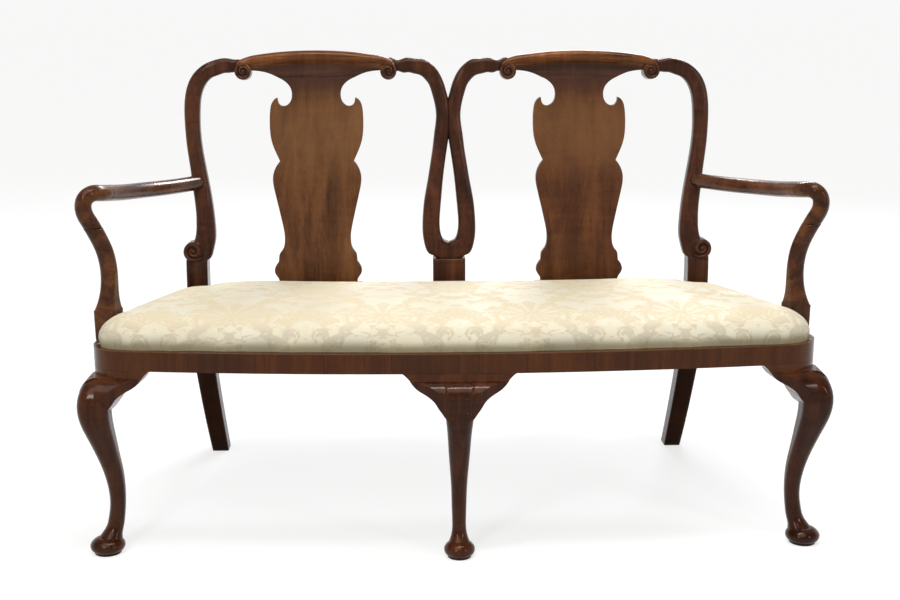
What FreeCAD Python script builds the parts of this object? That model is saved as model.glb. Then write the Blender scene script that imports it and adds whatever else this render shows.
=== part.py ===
import FreeCAD, Part
import math
import os

V = FreeCAD.Vector

# Seat frame
RAIL_TOP = 405.0            # floor to the top of the seat rails
RAIL_TALL = 39.0            # face height of the seat rails
RAIL_THICK = 45.0           # front and side rails, with their facing
FACING = 2.5                # cross-grained facing on the rails
BOW_RADIUS = 4770.0         # bow of the front rail in plan
CORNER_RADIUS = 70.0        # rounded front corners in plan
SIDE_REACH = 713.2          # distance of a side rail's face from the middle of the front, square to it
SIDE_SPLAY = 15.4           # degrees the side rails turn in towards the back
RAIL_PROUD = 3.3            # face of a side rail outside the back post that it meets
SEAT_DEPTH = 528.0          # front rail face to the front of the back posts
LIP = 16.0                  # rail lip round the drop-in seat
REBATE = 18.0               # depth of the rebate that the drop-in seat lies in
STUMP_X_ON = 4.0            # front rail ends this far past the corner's centre
STUMP_Y_ON = 9.0            # side rail starts this far behind the corner's centre

# Back
CHAIR_CENTRE = 295.5        # middle of each chair back from the middle of the settee
BACK_TALL = 540.0           # rail top to the top of the crests
BACK_LEAN = 75.0            # how far the back leans over the span of its curve
BACK_SPAN = 600.0
CREST_ARCH = 1200.0         # arch of the crest rails
SEAM = 480.0                # seam of a crest and its splat above the rails, as drawn
CREST_TALL = 60.0           # crest rail above that seam, as drawn
CREST_END = 161.5           # middle of a crest's scroll from the middle of its chair back
SPLAT_THICK = 13.0
SPLAT_SET = 6.0             # splats lie this far behind the faces of the stiles
SHOE_TALL = 25.0

# Legs and arms
KNEE_DROP = 14.0            # shaped drop of the rail over each leg
PAD_RADIUS = 33.5           # pad feet of the corner legs
FOOT_OUT = 50.5             # a corner foot beside its corner's centre
FOOT_FORE = 71.0            # a corner foot in front of its corner's centre
CENTRE_PAD = 30.0
CENTRE_FOOT_Y = -3.0
REAR_FOOT_Y = 632.0         # front of a rear foot
REAR_FOOT_DEEP = 44.0
ARM_RADIUS = 16.3
ARM_Y = 195.0               # middle of an arm support's base
ARM_JOINT = 213.0           # support's top joint above the rails

# Drop-in seat
SLIP_GAP = 1.0              # drop-in seat to rail lip
SLIP_REST = 0.3             # drop-in seat to the rebate's floor
SLIP_WIDE = 60.0            # width of the drop-in frame's members
SLIP_REAR_GAP = 6.0         # drop-in seat to the back posts
COVER = 2.0                 # cover fabric
WEB_THICK = 1.6
HESSIAN = 1.2
CROWN = 52.0                # top of the stuffed seat above the rails

# Fits
GAP = 0.2                   # clearance round tenons, dowels and screws

# What the outlines of the backs and the arms are drawn for
NOMINAL_CENTRE = 295.5
NOMINAL_TALL = 540.0
NOMINAL_ARM_X = 686.0
NOMINAL_ARM_Y = 195.0
NOMINAL_DEPTH = 528.0

RAIL_LOW = RAIL_TOP - RAIL_TALL
KNEE_TOP = RAIL_LOW - KNEE_DROP
REBATE_Z = RAIL_TOP - REBATE
SEAT_REAR = SEAT_DEPTH - SLIP_REAR_GAP
SHIFT = V(0, -(REAR_FOOT_Y + REAR_FOOT_DEEP + CENTRE_FOOT_Y - CENTRE_PAD) / 2, 0)

SPLAY_OUT = V(math.cos(math.radians(SIDE_SPLAY)), math.sin(math.radians(SIDE_SPLAY)), 0)
SPLAY_BACK = V(-SPLAY_OUT.y, SPLAY_OUT.x, 0)
SPLAT_Z = RAIL_TOP + SHOE_TALL
SLIP_LOW = REBATE_Z + SLIP_REST

nodes = {}


def corner_centre(inset, radius):
    hub = V(0, BOW_RADIUS, 0)
    reach = BOW_RADIUS - inset - radius
    start = SPLAY_OUT * (SIDE_REACH - inset - radius) - hub
    b = start.dot(SPLAY_BACK)
    return hub + start + SPLAY_BACK * (-b - math.sqrt(b * b - start.dot(start) + reach * reach))


CORNER = corner_centre(0, CORNER_RADIUS)
STUMP_X = CORNER.x + STUMP_X_ON
STUMP_Y = CORNER.y + STUMP_Y_ON


def bx(x):
    return x * CHAIR_CENTRE / NOMINAL_CENTRE


def bz(h):
    return RAIL_TOP + h * BACK_TALL / NOMINAL_TALL


def post_x(x, h):
    t = min(max((h - 60.0) / 180.0, 0.0), 1.0)
    landing = side_x(SEAT_DEPTH) - RAIL_PROUD - bx(591)
    return bx(x) + landing * (1 - t * t * (3 - 2 * t))


def stile_x(x, h):
    return bx(x)


def back_y(z):
    t = min(max((z - RAIL_TOP) / BACK_SPAN, 0.0), 1.0)
    return SEAT_DEPTH + BACK_LEAN * t * t * (3 - 2 * t)


def side_x(y, inset=0.0):
    return (SIDE_REACH - inset - SPLAY_OUT.y * y) / SPLAY_OUT.x


def front_y(x, inset=0.0):
    return BOW_RADIUS - math.sqrt((BOW_RADIUS - inset) ** 2 - x * x)


def line(a, b):
    return Part.LineSegment(a, b).toShape()


def arc(a, b, c):
    return Part.Arc(a, b, c).toShape()


def curve(points):
    if len(points) == 2:
        return line(points[0], points[1])
    spline = Part.BSplineCurve()
    spline.interpolate(points)
    return spline.toShape()


def face(edges):
    return Part.Face(Part.Wire(Part.sortEdges(edges)[0]))


def polygon(points):
    return Part.Face(Part.makePolygon(points + [points[0]]))


def block(x, y, z, gap=0.0):
    size = V(x[1] - x[0] + 2 * gap, y[1] - y[0] + 2 * gap, z[1] - z[0] + 2 * gap)
    return Part.makeBox(size.x, size.y, size.z, V(x[0] - gap, y[0] - gap, z[0] - gap))


def rod(radius, start, end):
    return Part.makeCylinder(radius, (end - start).Length, start, end - start)


def section(centre, across, deep, width, depth, radius):
    a = width / 2
    d = depth / 2
    r = min(radius, 0.48 * min(width, depth))
    k = r * (1 - math.sqrt(0.5))

    def at(u, v):
        return centre + across * u + deep * v

    return Part.Wire([
        line(at(-a + r, -d), at(a - r, -d)),
        arc(at(a - r, -d), at(a - k, -d + k), at(a, -d + r)),
        line(at(a, -d + r), at(a, d - r)),
        arc(at(a, d - r), at(a - k, d - k), at(a - r, d)),
        line(at(a - r, d), at(-a + r, d)),
        arc(at(-a + r, d), at(-a + k, d - k), at(-a, d - r)),
        line(at(-a, d - r), at(-a, -d + r)),
        arc(at(-a, -d + r), at(-a + k, -d + k), at(-a + r, -d)),
    ])


def loft(wires):
    shape = Part.makeLoft(wires, True, False, False, 3)
    if shape.Volume < 0:
        shape.reverse()
    return shape


def mirrored(shape):
    return shape.mirror(V(0, 0, 0), V(1, 0, 0))


def pair(name, shape):
    nodes["right_" + name] = shape
    nodes["left_" + name] = mirrored(shape)


def screw(start, end, head=4.0, shank=2.0):
    way = end - start
    length = way.Length
    way.normalize()
    cone = Part.makeCone(head, shank, head - shank, start, way)
    return cone.fuse(rod(shank, start, start + way * length))


def screw_hole(start, end, head=4.0, shank=2.0):
    way = end - start
    length = way.Length
    way.normalize()
    cone = Part.makeCone(head + GAP, shank + GAP, head - shank, start, way)
    hole = cone.fuse(rod(shank + GAP, start, start + way * (length + GAP)))
    return hole.fuse(rod(head + GAP, start - way * 40, start))


# Plan of the seat

def seat_wire(inset, z, rear, corner=None, heel=0.0):
    radius = max(CORNER_RADIUS - inset, 8.0) if corner is None else corner
    c = corner_centre(inset, radius)
    ahead = (c - V(0, BOW_RADIUS, 0)).normalize()
    up = V(0, 0, z)
    right = [c + ahead * radius + up]
    right.append(c + (ahead + SPLAY_OUT).normalize() * radius + up)
    right.append(c + SPLAY_OUT * radius + up)
    if heel > 0:
        h = V((SIDE_REACH - inset - heel - SPLAY_OUT.y * (rear - heel)) / SPLAY_OUT.x, rear - heel, z)
        right.append(h + SPLAY_OUT * heel)
        right.append(h + (SPLAY_OUT + V(0, 1, 0)).normalize() * heel)
        right.append(h + V(0, heel, 0))
    else:
        right.append(V(side_x(rear, inset), rear, z))
    left = [V(-p.x, p.y, p.z) for p in right]
    edges = [arc(left[0], V(0, inset, z), right[0]), arc(right[0], right[1], right[2])]
    edges.append(line(right[2], right[3]))
    if heel > 0:
        edges.append(arc(right[3], right[4], right[5]))
    edges.append(line(right[-1], left[-1]))
    if heel > 0:
        edges.append(arc(left[5], left[4], left[3]))
    edges.append(line(left[3], left[2]))
    edges.append(arc(left[2], left[1], left[0]))
    return Part.Wire(edges)


def seat_prism(inset, low, high, rear):
    return Part.Face(seat_wire(inset, low, rear)).extrude(V(0, 0, high - low))


# Back posts and stiles: pairs of points give the two edges of a member as seen from the front,
# drawn for the nominal centre and height of a chair back

OUTER_STILE = [
    ((590, 62), (544, 62)), ((588, 82), (541, 80)), ((580, 104), (531, 97)),
    ((572, 124), (526, 118)), ((567.5, 146), (524.5, 142)), ((567, 170), (526.5, 170)),
    ((569, 204), (530.5, 204)), ((574, 244), (537, 244)), ((580, 292), (546, 292)),
    ((586, 336), (553, 336)), ((589.5, 385), (556, 383)), ((590, 410), (555.5, 408)),
    ((588, 438), (553, 436)), ((583, 461), (545, 460)), ((574, 481), (533, 476)),
    ((560, 498), (521, 483)), ((541, 511.5), (508, 487.5)), ((518, 520), (497, 490.5)),
    ((492, 522.5), (486, 491)), ((472, 520), (469, 491)),
    ((454, 510), (454, 489)),
]
INNER_STILE = [
    ((137, 510), (137, 489)), ((118, 520), (120, 491)), ((98, 522.6), (104, 491.2)),
    ((80, 523), (93, 490.8)), ((61, 521.5), (81, 489.5)), ((43, 514.5), (68, 486.5)),
    ((27, 500), (56, 480)), ((15.5, 482), (47, 470)),
    ((8, 463), (41, 459)), ((3, 445), (36, 443)), ((-2, 425), (31, 424)),
    ((-4, 396), (27.5, 396)), ((-2, 360), (31.5, 360)), ((2, 333), (35, 331)),
    ((6.5, 304), (39, 304)), ((12, 264), (45.5, 264)), ((16, 224), (53, 224)),
    ((18.5, 197), (57, 197)), ((21, 158), (59.8, 158)), ((18, 133), (59.5, 135)),
    ((9, 119), (55, 108)), ((-4, 113), (43, 88)), ((-16, 112), (26, 74)),
    ((-30, 113), (2, 62)),
]


REAR_LEG = [
    (0, 545, 38, 1, REAR_FOOT_DEEP), (0.25, 555, 41.5, 0.73, 46), (0.51, 563.5, 44, 0.47, 48),
    (0.8, 568, 46.5, 0.165, 50), (1.0, 567.5, 47, 0, 50), (1.2, 567, 47, 0.015, 46),
]


def member(pairs, depth, radius, place):
    wires = []
    for (x1, h1), (x2, h2) in pairs:
        a = V(place(x1, h1), 0, bz(h1))
        b = V(place(x2, h2), 0, bz(h2))
        mid = (a + b) * 0.5
        mid.y = back_y(mid.z) + depth / 2
        wires.append(section(mid, (a - b).normalize(), V(0, 1, 0), (a - b).Length, depth, radius))
    return loft(wires)


def scroll(x, h, radius, proud, depth):
    z = bz(h)
    y = back_y(z) - proud
    return Part.makeCylinder(radius, depth, V(post_x(x, h), y, z), V(0, 1, 0))


def rear_post():
    wires = []
    for part, x, width, rake, depth in REAR_LEG:
        y = SEAT_DEPTH + (REAR_FOOT_Y - SEAT_DEPTH) * rake
        middle = V(post_x(x, 0), y + depth / 2, RAIL_TOP * part)
        wires.append(section(middle, V(1, 0, 0), V(0, 1, 0), width, depth, 3.5))
    leg = loft(wires)
    stile = member(OUTER_STILE, 34.0, 10.0, post_x)
    return leg.fuse(stile).fuse(scroll(574, 100, 21.0, 5.0, 36.0))


def inner_stile():
    shape = member(INNER_STILE, 34.0, 10.0, stile_x)
    keep = block((0, 400), (SEAT_DEPTH - 50, SEAT_DEPTH + 250), (bz(79), bz(600)))
    return shape.common(keep)


def centre_post():
    top = bz(79)
    wires = []
    for z in (RAIL_TOP, (RAIL_TOP + top) / 2, top):
        middle = V(0, back_y(z) + 19, z)
        wires.append(section(middle, V(1, 0, 0), V(0, 1, 0), 73, 38, 3.5))
    return loft(wires)


# Crest rails and splats, drawn about the middle of one chair back

CREST_FLARE = [
    (83, SEAM), (92, SEAM + 4.5), (108, SEAM + 11), (126, SEAM + 15), (146, SEAM + 16.5),
    (161.5, SEAM + 17),
]
# distance from the middle of a crest, further drop of its top, and size of its roll there
CREST_SHOULDER = [
    (0, 0, 1.0), (40, 0, 1.0), (80, 0.6, 1.0), (105, 1.3, 0.97), (121, 1.9, 0.93), (135, 2.5, 0.87),
    (148, 3.9, 0.80), (161.5, 6.6, 0.71), (170, 10.6, 0.63), (176, 16.8, 0.54),
]
SPLAT_EDGE = [
    [(89, 25), (89.5, 36), (97, 48), (98, 56), (95, 65), (88.5, 74)],
    [(88.5, 74), (87.8, 83), (86, 92), (80.5, 99.5), (76.5, 107), (74.3, 118), (74, 130),
     (75.5, 144), (79.5, 164), (87, 197), (95, 231), (98.5, 250), (98.5, 264), (94, 280), (82.5, 297)],
    [(82.5, 297), (88, 309), (96, 327), (101.5, 345), (104.3, 370), (104.3, 395), (103, SEAM - 69),
     (99.8, SEAM - 56), (95, SEAM - 48.5), (87, SEAM - 43.5)],
    [(87, SEAM - 43.5), (86, SEAM - 50), (84, SEAM - 56), (79.5, SEAM - 60.5), (73, SEAM - 62),
     (66, SEAM - 60), (60, SEAM - 55), (56, SEAM - 48), (54.3, SEAM - 39), (55, SEAM - 29),
     (59, SEAM - 19), (68, SEAM - 9), (83, SEAM)],
]


def outline(segments, centre, y, low, high):
    edges = []
    for side in (1, -1):
        for segment in segments:
            edges.append(curve([V(centre + side * w, y, bz(h)) for w, h in segment]))
    first = segments[0][0]
    last = segments[-1][-1]
    edges.append(line(V(centre - first[0], y, low), V(centre + first[0], y, low)))
    edges.append(line(V(centre - last[0], y, high), V(centre + last[0], y, high)))
    return face(edges)


def splat_strip(low, high, front, thick):
    steps = 10
    levels = [low + (high - low) * i / steps for i in range(steps + 1)]
    fore = [V(0, back_y(z) + front, z) for z in levels]
    rear = [V(0, back_y(z) + front + thick, z) for z in levels]
    edges = [curve(fore), curve(rear), line(fore[0], rear[0]), line(fore[-1], rear[-1])]
    strip = face(edges).extrude(V(400, 0, 0))
    strip.translate(V(CHAIR_CENTRE - 200, 0, 0))
    return strip


def splat():
    shape = outline(SPLAT_EDGE, CHAIR_CENTRE, SEAT_DEPTH - 40, bz(25), bz(SEAM))
    body = shape.extrude(V(0, 220, 0)).common(splat_strip(bz(0), bz(SEAM + 30), SPLAT_SET, SPLAT_THICK))
    return body


def splat_tongue(gap):
    strip = splat_strip(bz(SEAM - 12), bz(SEAM + 12) + gap, SPLAT_SET + 3.5 - gap, 6.0 + 2 * gap)
    wide = block((CHAIR_CENTRE - 60, CHAIR_CENTRE + 60), (0, 900), (bz(SEAM - 10), bz(SEAM + 20)), gap)
    return strip.common(wide)


def splat_foot(gap):
    return block((CHAIR_CENTRE - 70, CHAIR_CENTRE + 70),
                 (SEAT_DEPTH + SPLAT_SET + 3, SEAT_DEPTH + SPLAT_SET + 10),
                 (bz(25) - 12, bz(25) + 4), gap)


def crest_section(x, drop, size):
    top = bz(SEAM + CREST_TALL) - (CREST_ARCH - math.sqrt(CREST_ARCH ** 2 - x * x)) - drop
    low = bz(SEAM - 60)
    bulge = 10 + 5 * size

    def at(y, below):
        return V(x, y, top - below * size)

    return Part.Wire([
        line(V(x, 0, low), at(0, 41)),
        arc(at(0, 41), at(-2.5, 31), at(-0.53 * bulge, 25)),
        arc(at(-0.53 * bulge, 25), at(-bulge, 12), at(-4, 0)),
        arc(at(-4, 0), at(12, 4), at(20, 16)),
        line(at(20, 16), at(SPLAT_THICK, 46)),
        line(at(SPLAT_THICK, 46), V(x, SPLAT_THICK, low)),
        line(V(x, SPLAT_THICK, low), V(x, 0, low)),
    ])


def crest():
    reach = CREST_END / 161.5
    places = [(-x, drop, size) for x, drop, size in reversed(CREST_SHOULDER[1:])] + CREST_SHOULDER
    shape = loft([crest_section(x * reach, drop, size) for x, drop, size in places])
    end = CREST_SHOULDER[-1][0] * reach
    flare = [CREST_FLARE[:-1] + [(CREST_END, SEAM + 17)], [(CREST_END, SEAM + 17), (end + 5, SEAM + 17)],
             [(end + 5, SEAM + 17), (end + 5, 560)]]
    cutter = outline(flare, 0, -60, bz(SEAM), bz(560)).extrude(V(0, 120, 0))
    shape = shape.common(cutter)
    for side in (1, -1):
        eye = V(side * CREST_END, -11, bz(SEAM + 13.5))
        shape = shape.fuse(Part.makeCylinder(18, 33, eye, V(0, 1, 0)))
    t = (bz(SEAM + 30) - RAIL_TOP) / BACK_SPAN
    slope = 6 * BACK_LEAN / BACK_SPAN * t * (1 - t)
    shape.rotate(V(0, 0, bz(SEAM)), V(1, 0, 0), -math.degrees(math.atan(slope)))
    shape.translate(V(CHAIR_CENTRE, back_y(bz(SEAM)) + SPLAT_SET, 0))
    return shape.cut(block((-50, 2 * CHAIR_CENTRE + 50), (0, 900), (0, bz(SEAM - 60))))


def crest_tenon(side, gap):
    x = CHAIR_CENTRE + side * (CREST_END + 8)
    z = bz(SEAM + 21)
    y = back_y(z) + 11
    return block((x - 20, x + 20), (y, y + 9), (z - 6, z + 6), gap)


def shoe():
    wires = []
    for z, half, front, rear in ((RAIL_TOP, 112, 0, 32), (RAIL_TOP + 10, 112, 0, 32),
                                 (SPLAT_Z, 99, 3, 24)):
        middle = V(CHAIR_CENTRE, SEAT_DEPTH + (front + rear) / 2, z)
        wires.append(section(middle, V(1, 0, 0), V(0, 1, 0), 2 * half, rear - front, 2.0))
    return Part.makeLoft(wires, True, True)


# Legs: height, place beside the corner, width, depth and rounding, from the knee down

CORNER_LEG = [
    (352, 40, -33, 60, 60, 28), (341, 50, -50, 60, 60, 25), (321, 58, -67, 60, 60, 21),
    (295, 60, -74, 60, 60, 19), (255, 55, -72, 54, 54, 17), (223, 48, -65, 47, 47, 16),
    (190, 41, -58, 40.5, 40.5, 15), (158, 35, -52, 36, 36, 14), (125, 31.5, -48.5, 32, 32, 13.5),
    (98, 31, -48, 30, 30, 13.5), (74, 33, -50, 30.5, 30.5, 14), (57, 35.5, -52.5, 32, 32, 15),
    (42, 40, -58, 36, 36, 17), (30, 45, -64, 44, 44, 21), (18, 48, -68, 47, 47, 22.5),
]
CENTRE_LEG = [
    (352, 0, 22, 58, 44, 5), (339, 0, 8, 58, 60, 7), (318, 0, 2, 58, 63, 10),
    (297, 0, 2, 57, 62, 14), (262, 0, 4, 49, 54, 17), (230, 0, 9, 44, 46, 17),
    (198, 0, 14, 40, 40, 15), (165, 0, 18, 35, 35, 14), (133, 0, 20.5, 31, 31, 13),
    (100, 0, 21, 29, 29, 13), (74, 0, 19, 27.5, 28, 13), (57, 0, 16, 27, 28, 13),
    (42, 0, 11, 30, 31, 14.5), (30, 0, 5, 38, 39, 18), (18, 0, 1, 42, 42, 20),
]


def pad_foot(x, y, radius):
    k = radius / 33.5
    points = [(0, 0), (26 * k, 0), (26 * k, 5), (30.5 * k, 7)]
    edges = [line(V(x + a[0], y, a[1]), V(x + b[0], y, b[1])) for a, b in zip(points, points[1:])]
    edges.append(arc(V(x + 30.5 * k, y, 7), V(x + radius, y, 14), V(x + 30 * k, y, 23)))
    edges.append(arc(V(x + 30 * k, y, 23), V(x + 25 * k, y, 27.5), V(x + 17 * k, y, 31)))
    edges.append(line(V(x + 17 * k, y, 31), V(x, y, 31)))
    edges.append(line(V(x, y, 31), V(x, y, 0)))
    return face(edges).revolve(V(x, y, 0), V(0, 0, 1), 360)


def cabriole(table, top_x, top_y, foot_x, foot_y, radius):
    wires = []
    for z, x, y, width, depth, r in reversed(table):
        middle = V(top_x + x, top_y + y, z * KNEE_TOP / table[0][0])
        wires.append(section(middle, V(1, 0, 0), V(0, 1, 0), width, depth, r))
    return loft(wires).fuse(pad_foot(foot_x, foot_y, radius))


def corner_leg():
    leg = cabriole(CORNER_LEG, CORNER.x, CORNER.y, CORNER.x + FOOT_OUT, CORNER.y - FOOT_FORE, PAD_RADIUS)
    corner = block((STUMP_X, STUMP_X + 150), (-50, STUMP_Y), (KNEE_TOP, RAIL_LOW))
    drop = seat_prism(0, KNEE_TOP, RAIL_LOW, SEAT_DEPTH).common(corner)
    above = block((STUMP_X, STUMP_X + 150), (-50, STUMP_Y), (RAIL_LOW, RAIL_TOP))
    stump = seat_prism(FACING, RAIL_LOW, RAIL_TOP, SEAT_DEPTH).common(above)
    stump = stump.cut(seat_prism(LIP, REBATE_Z, RAIL_TOP + 5, SEAT_REAR + 3))
    return leg.fuse(drop).fuse(stump)


def centre_leg():
    leg = cabriole(CENTRE_LEG, 0.0, 0.0, 0.0, CENTRE_FOOT_Y, CENTRE_PAD)
    drop = block((-29, 29), (0, RAIL_THICK), (KNEE_TOP, RAIL_LOW))
    return leg.fuse(drop).fuse(centre_tenon(0))


def centre_tenon(gap):
    return block((-20, 20), (11, 35), (RAIL_LOW - 2, REBATE_Z - 4), gap)


BRACKET_EDGE = [(94, 0), (89, -7), (81, -15), (67, -23), (54, -31), (46, -39), (41, -47),
                (35, -55), (30, -62), (24, -69)]


def bracket(origin, along, out, bulge):
    def at(u, v, z):
        return origin + along * u + out * v + V(0, 0, z)

    edge = [(u, KNEE_TOP + z) for u, z in BRACKET_EDGE]
    front = [curve([at(u, -60, z) for u, z in edge])]
    front.append(curve([at(108, -60, RAIL_LOW), at(101, -60, RAIL_LOW - 6), at(94, -60, KNEE_TOP)]))
    front.append(line(at(24, -60, edge[-1][1]), at(10, -60, edge[-1][1])))
    front.append(line(at(10, -60, edge[-1][1]), at(10, -60, RAIL_LOW)))
    front.append(line(at(10, -60, RAIL_LOW), at(108, -60, RAIL_LOW)))
    shape = face(front).extrude(out * 160)
    low = KNEE_TOP - 90
    plan = [curve([at(10, bulge, low), at(30, 0.93 * bulge, low), at(62, 0.45 * bulge, low),
                   at(92, 0.08 * bulge, low), at(112, 0, low)])]
    plan.append(line(at(112, 0, low), at(112, -40, low)))
    plan.append(line(at(112, -40, low), at(10, -40, low)))
    plan.append(line(at(10, -40, low), at(10, bulge, low)))
    shape = shape.common(face(plan).extrude(V(0, 0, 200)))
    side = [line(at(0, 0, RAIL_LOW + 5), at(0, 0, KNEE_TOP))]
    side.append(curve([at(0, 0, KNEE_TOP), at(0, 0.55 * bulge, KNEE_TOP - 8),
                       at(0, 0.92 * bulge, KNEE_TOP - 22), at(0, bulge + 1, KNEE_TOP - 75)]))
    side.append(line(at(0, bulge + 1, KNEE_TOP - 75), at(0, -60, KNEE_TOP - 75)))
    side.append(line(at(0, -60, KNEE_TOP - 75), at(0, -60, RAIL_LOW + 5)))
    side.append(line(at(0, -60, RAIL_LOW + 5), at(0, 0, RAIL_LOW + 5)))
    shape = shape.common(face(side).extrude(along * 130))
    under = seat_prism(0, KNEE_TOP, RAIL_LOW, SEAT_DEPTH)
    above = block((-900, 900), (-200, 900), (KNEE_TOP, RAIL_TOP))
    return shape.cut(above.cut(under))


# Arms

ARM_PATH = [
    (556, 574, 251), (575, 538, 251.5), (599, 490, 253), (622, 443, 255.5), (645, 393, 259),
    (664, 342, 263), (680, 290, 268), (692, 243, 274), (702, 206, 279), (713, 188, 279.5),
    (723, 180, 271), (727, 178, 256), (724.5, 179, 240), (717, 182, 224), (709.5, 185, 208),
    (703, 187, 190),
]
SUPPORT = [
    (213, 711.8, 184, 35, 33, 13), (188, 701, 188, 33.5, 33, 13), (150, 690, 192, 31, 33, 12.5),
    (112, 687.5, 194, 30.5, 33, 12), (82, 689.5, 195, 32, 36, 11), (60, 692, 195, 37, 41, 9),
    (46, 693.5, 195, 44, 46, 7),
]


def arm_at(x, y, h):
    # the front end follows the rail and the rear end follows the post
    k = min(1.0, max(0.0, (574.0 - y) / (574.0 - NOMINAL_ARM_Y)))
    x += k * (side_x(ARM_Y) - NOMINAL_ARM_X) + (1 - k) * (post_x(567, 251) - 567.0)
    y += k * (ARM_Y - NOMINAL_ARM_Y) + (1 - k) * (SEAT_DEPTH - NOMINAL_DEPTH)
    return V(x, y, RAIL_TOP + h * ARM_JOINT / 213.0)


def arm():
    path = Part.BSplineCurve()
    path.interpolate([arm_at(x, y, h) for x, y, h in ARM_PATH])
    tangent = V(*path.tangent(path.FirstParameter)[0])
    start = Part.Wire([Part.Circle(path.value(path.FirstParameter), tangent, ARM_RADIUS).toShape()])
    shape = Part.Wire([path.toShape()]).makePipeShell([start], True, True)
    below = block((0, 1500), (-100, ARM_Y + 45), (0, RAIL_TOP + ARM_JOINT))
    return shape.cut(below)


def support():
    wires = []
    for h, x, y, width, depth, r in reversed(SUPPORT):
        wires.append(section(arm_at(x, y, h), SPLAY_OUT, SPLAY_BACK, width, depth, r))
    stem = loft(wires)
    base = arm_at(SUPPORT[-1][1], SUPPORT[-1][2], 0)
    foot = []
    for z, width, depth in ((RAIL_LOW + 9, 40, 42), (RAIL_TOP - 8, 43, 45), (arm_at(0, 0, 47).z, 44, 46)):
        foot.append(section(V(base.x, base.y, z), SPLAY_OUT, SPLAY_BACK, width, depth, 5))
    return stem.fuse(Part.makeLoft(foot, True, True))


def arm_dowel(gap):
    way = V(0.42, -0.15, 1).normalize()
    middle = arm_at(SUPPORT[0][1], SUPPORT[0][2], SUPPORT[0][0])
    return rod(5 + gap, middle - way * (18 + gap), middle + way * (18 + gap))


def build_back():
    post = rear_post()
    stile = inner_stile()
    rail = crest()
    post = post.cut(rail).fuse(crest_tenon(1, 0).common(rail))
    stile = stile.cut(rail).fuse(crest_tenon(-1, 0).common(rail))
    rail = rail.cut(crest_tenon(1, GAP)).cut(crest_tenon(-1, GAP)).cut(splat_tongue(GAP))
    board = splat().cut(crest()).fuse(splat_tongue(0)).fuse(splat_foot(0))
    base = shoe().cut(splat_foot(GAP)).cut(splat())
    return post, stile, rail, board, base


def build_seat_frame(post):
    ring = seat_prism(FACING, RAIL_LOW, RAIL_TOP, SEAT_DEPTH + 9)
    ring = ring.cut(seat_prism(RAIL_THICK, RAIL_LOW - 5, RAIL_TOP + 5, SEAT_DEPTH + 60))
    ring = ring.cut(seat_prism(LIP, REBATE_Z, RAIL_TOP + 5, SEAT_REAR + 3))
    z = (RAIL_LOW + 4, REBATE_Z - 4)
    y = front_y(STUMP_X, RAIL_THICK / 2)
    front_tenon = (STUMP_X - 6, STUMP_X + 26), (y - 6, y + 6), z
    x = side_x(STUMP_Y, RAIL_THICK / 2)
    side_tenon = (x - 6, x + 6), (STUMP_Y - 28, STUMP_Y + 6), z
    x = side_x(SEAT_DEPTH, RAIL_THICK / 2)
    post_tenon = (x - 6, x + 6), (SEAT_DEPTH - 4, SEAT_DEPTH + 34), z
    x = post_x(567.5, 0) - 23
    rear_tenon = (x - 12, x + 20), (SEAT_DEPTH + 22, SEAT_DEPTH + 34), (RAIL_LOW - 4, REBATE_Z - 2)

    front = ring.common(block((-STUMP_X, STUMP_X), (-20, STUMP_Y), (0, 600)))
    front = front.fuse(block(*front_tenon)).fuse(mirrored(block(*front_tenon))).cut(centre_tenon(GAP))
    side = ring.common(block((STUMP_X - 200, 900), (STUMP_Y, 700), (0, 600))).cut(post)
    side = side.fuse(block(*side_tenon)).fuse(block(*post_tenon))
    leg = corner_leg().cut(block(*front_tenon, GAP)).cut(block(*side_tenon, GAP))

    reach = post_x(549, 0)
    rear = block((-reach, reach), (SEAT_DEPTH - 22, SEAT_DEPTH + 36), (RAIL_LOW - 16, RAIL_TOP))
    rear = rear.cut(block((-reach, reach), (0, SEAT_REAR + 3), (REBATE_Z, RAIL_TOP + 5)))
    rear = rear.cut(post).cut(mirrored(post)).cut(side).cut(mirrored(side))
    rear = rear.fuse(block(*rear_tenon)).fuse(mirrored(block(*rear_tenon)))
    post = post.cut(block(*post_tenon, GAP)).cut(block(*rear_tenon, GAP))

    stub = (-22, 22), (SEAT_DEPTH + 9, SEAT_DEPTH + 21), (RAIL_TOP - 30, RAIL_TOP + 2)
    middle = centre_post().fuse(block(*stub))
    rear = rear.cut(block(*stub, GAP))
    return front, side, rear, leg, post, middle


def build_facing():
    ring = seat_prism(0, RAIL_LOW, RAIL_TOP, SEAT_DEPTH + 9)
    ring = ring.cut(seat_prism(FACING, RAIL_LOW - 5, RAIL_TOP + 5, SEAT_DEPTH + 60))
    leaves = []
    count = 10
    wide = 2 * STUMP_X / count
    for i in range(count):
        x = -STUMP_X + wide * i
        leaves.append(ring.common(block((x, x + wide), (-20, 200), (0, 600))))
    corner = ring.common(block((STUMP_X, 900), (-20, STUMP_Y), (0, 600)))
    sides = [corner]
    length = (SEAT_DEPTH + 9 - STUMP_Y) / 3
    for i in range(3):
        y = STUMP_Y + length * i
        sides.append(ring.common(block((400, 900), (y, y + length), (0, 600))))
    return leaves, sides


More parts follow.
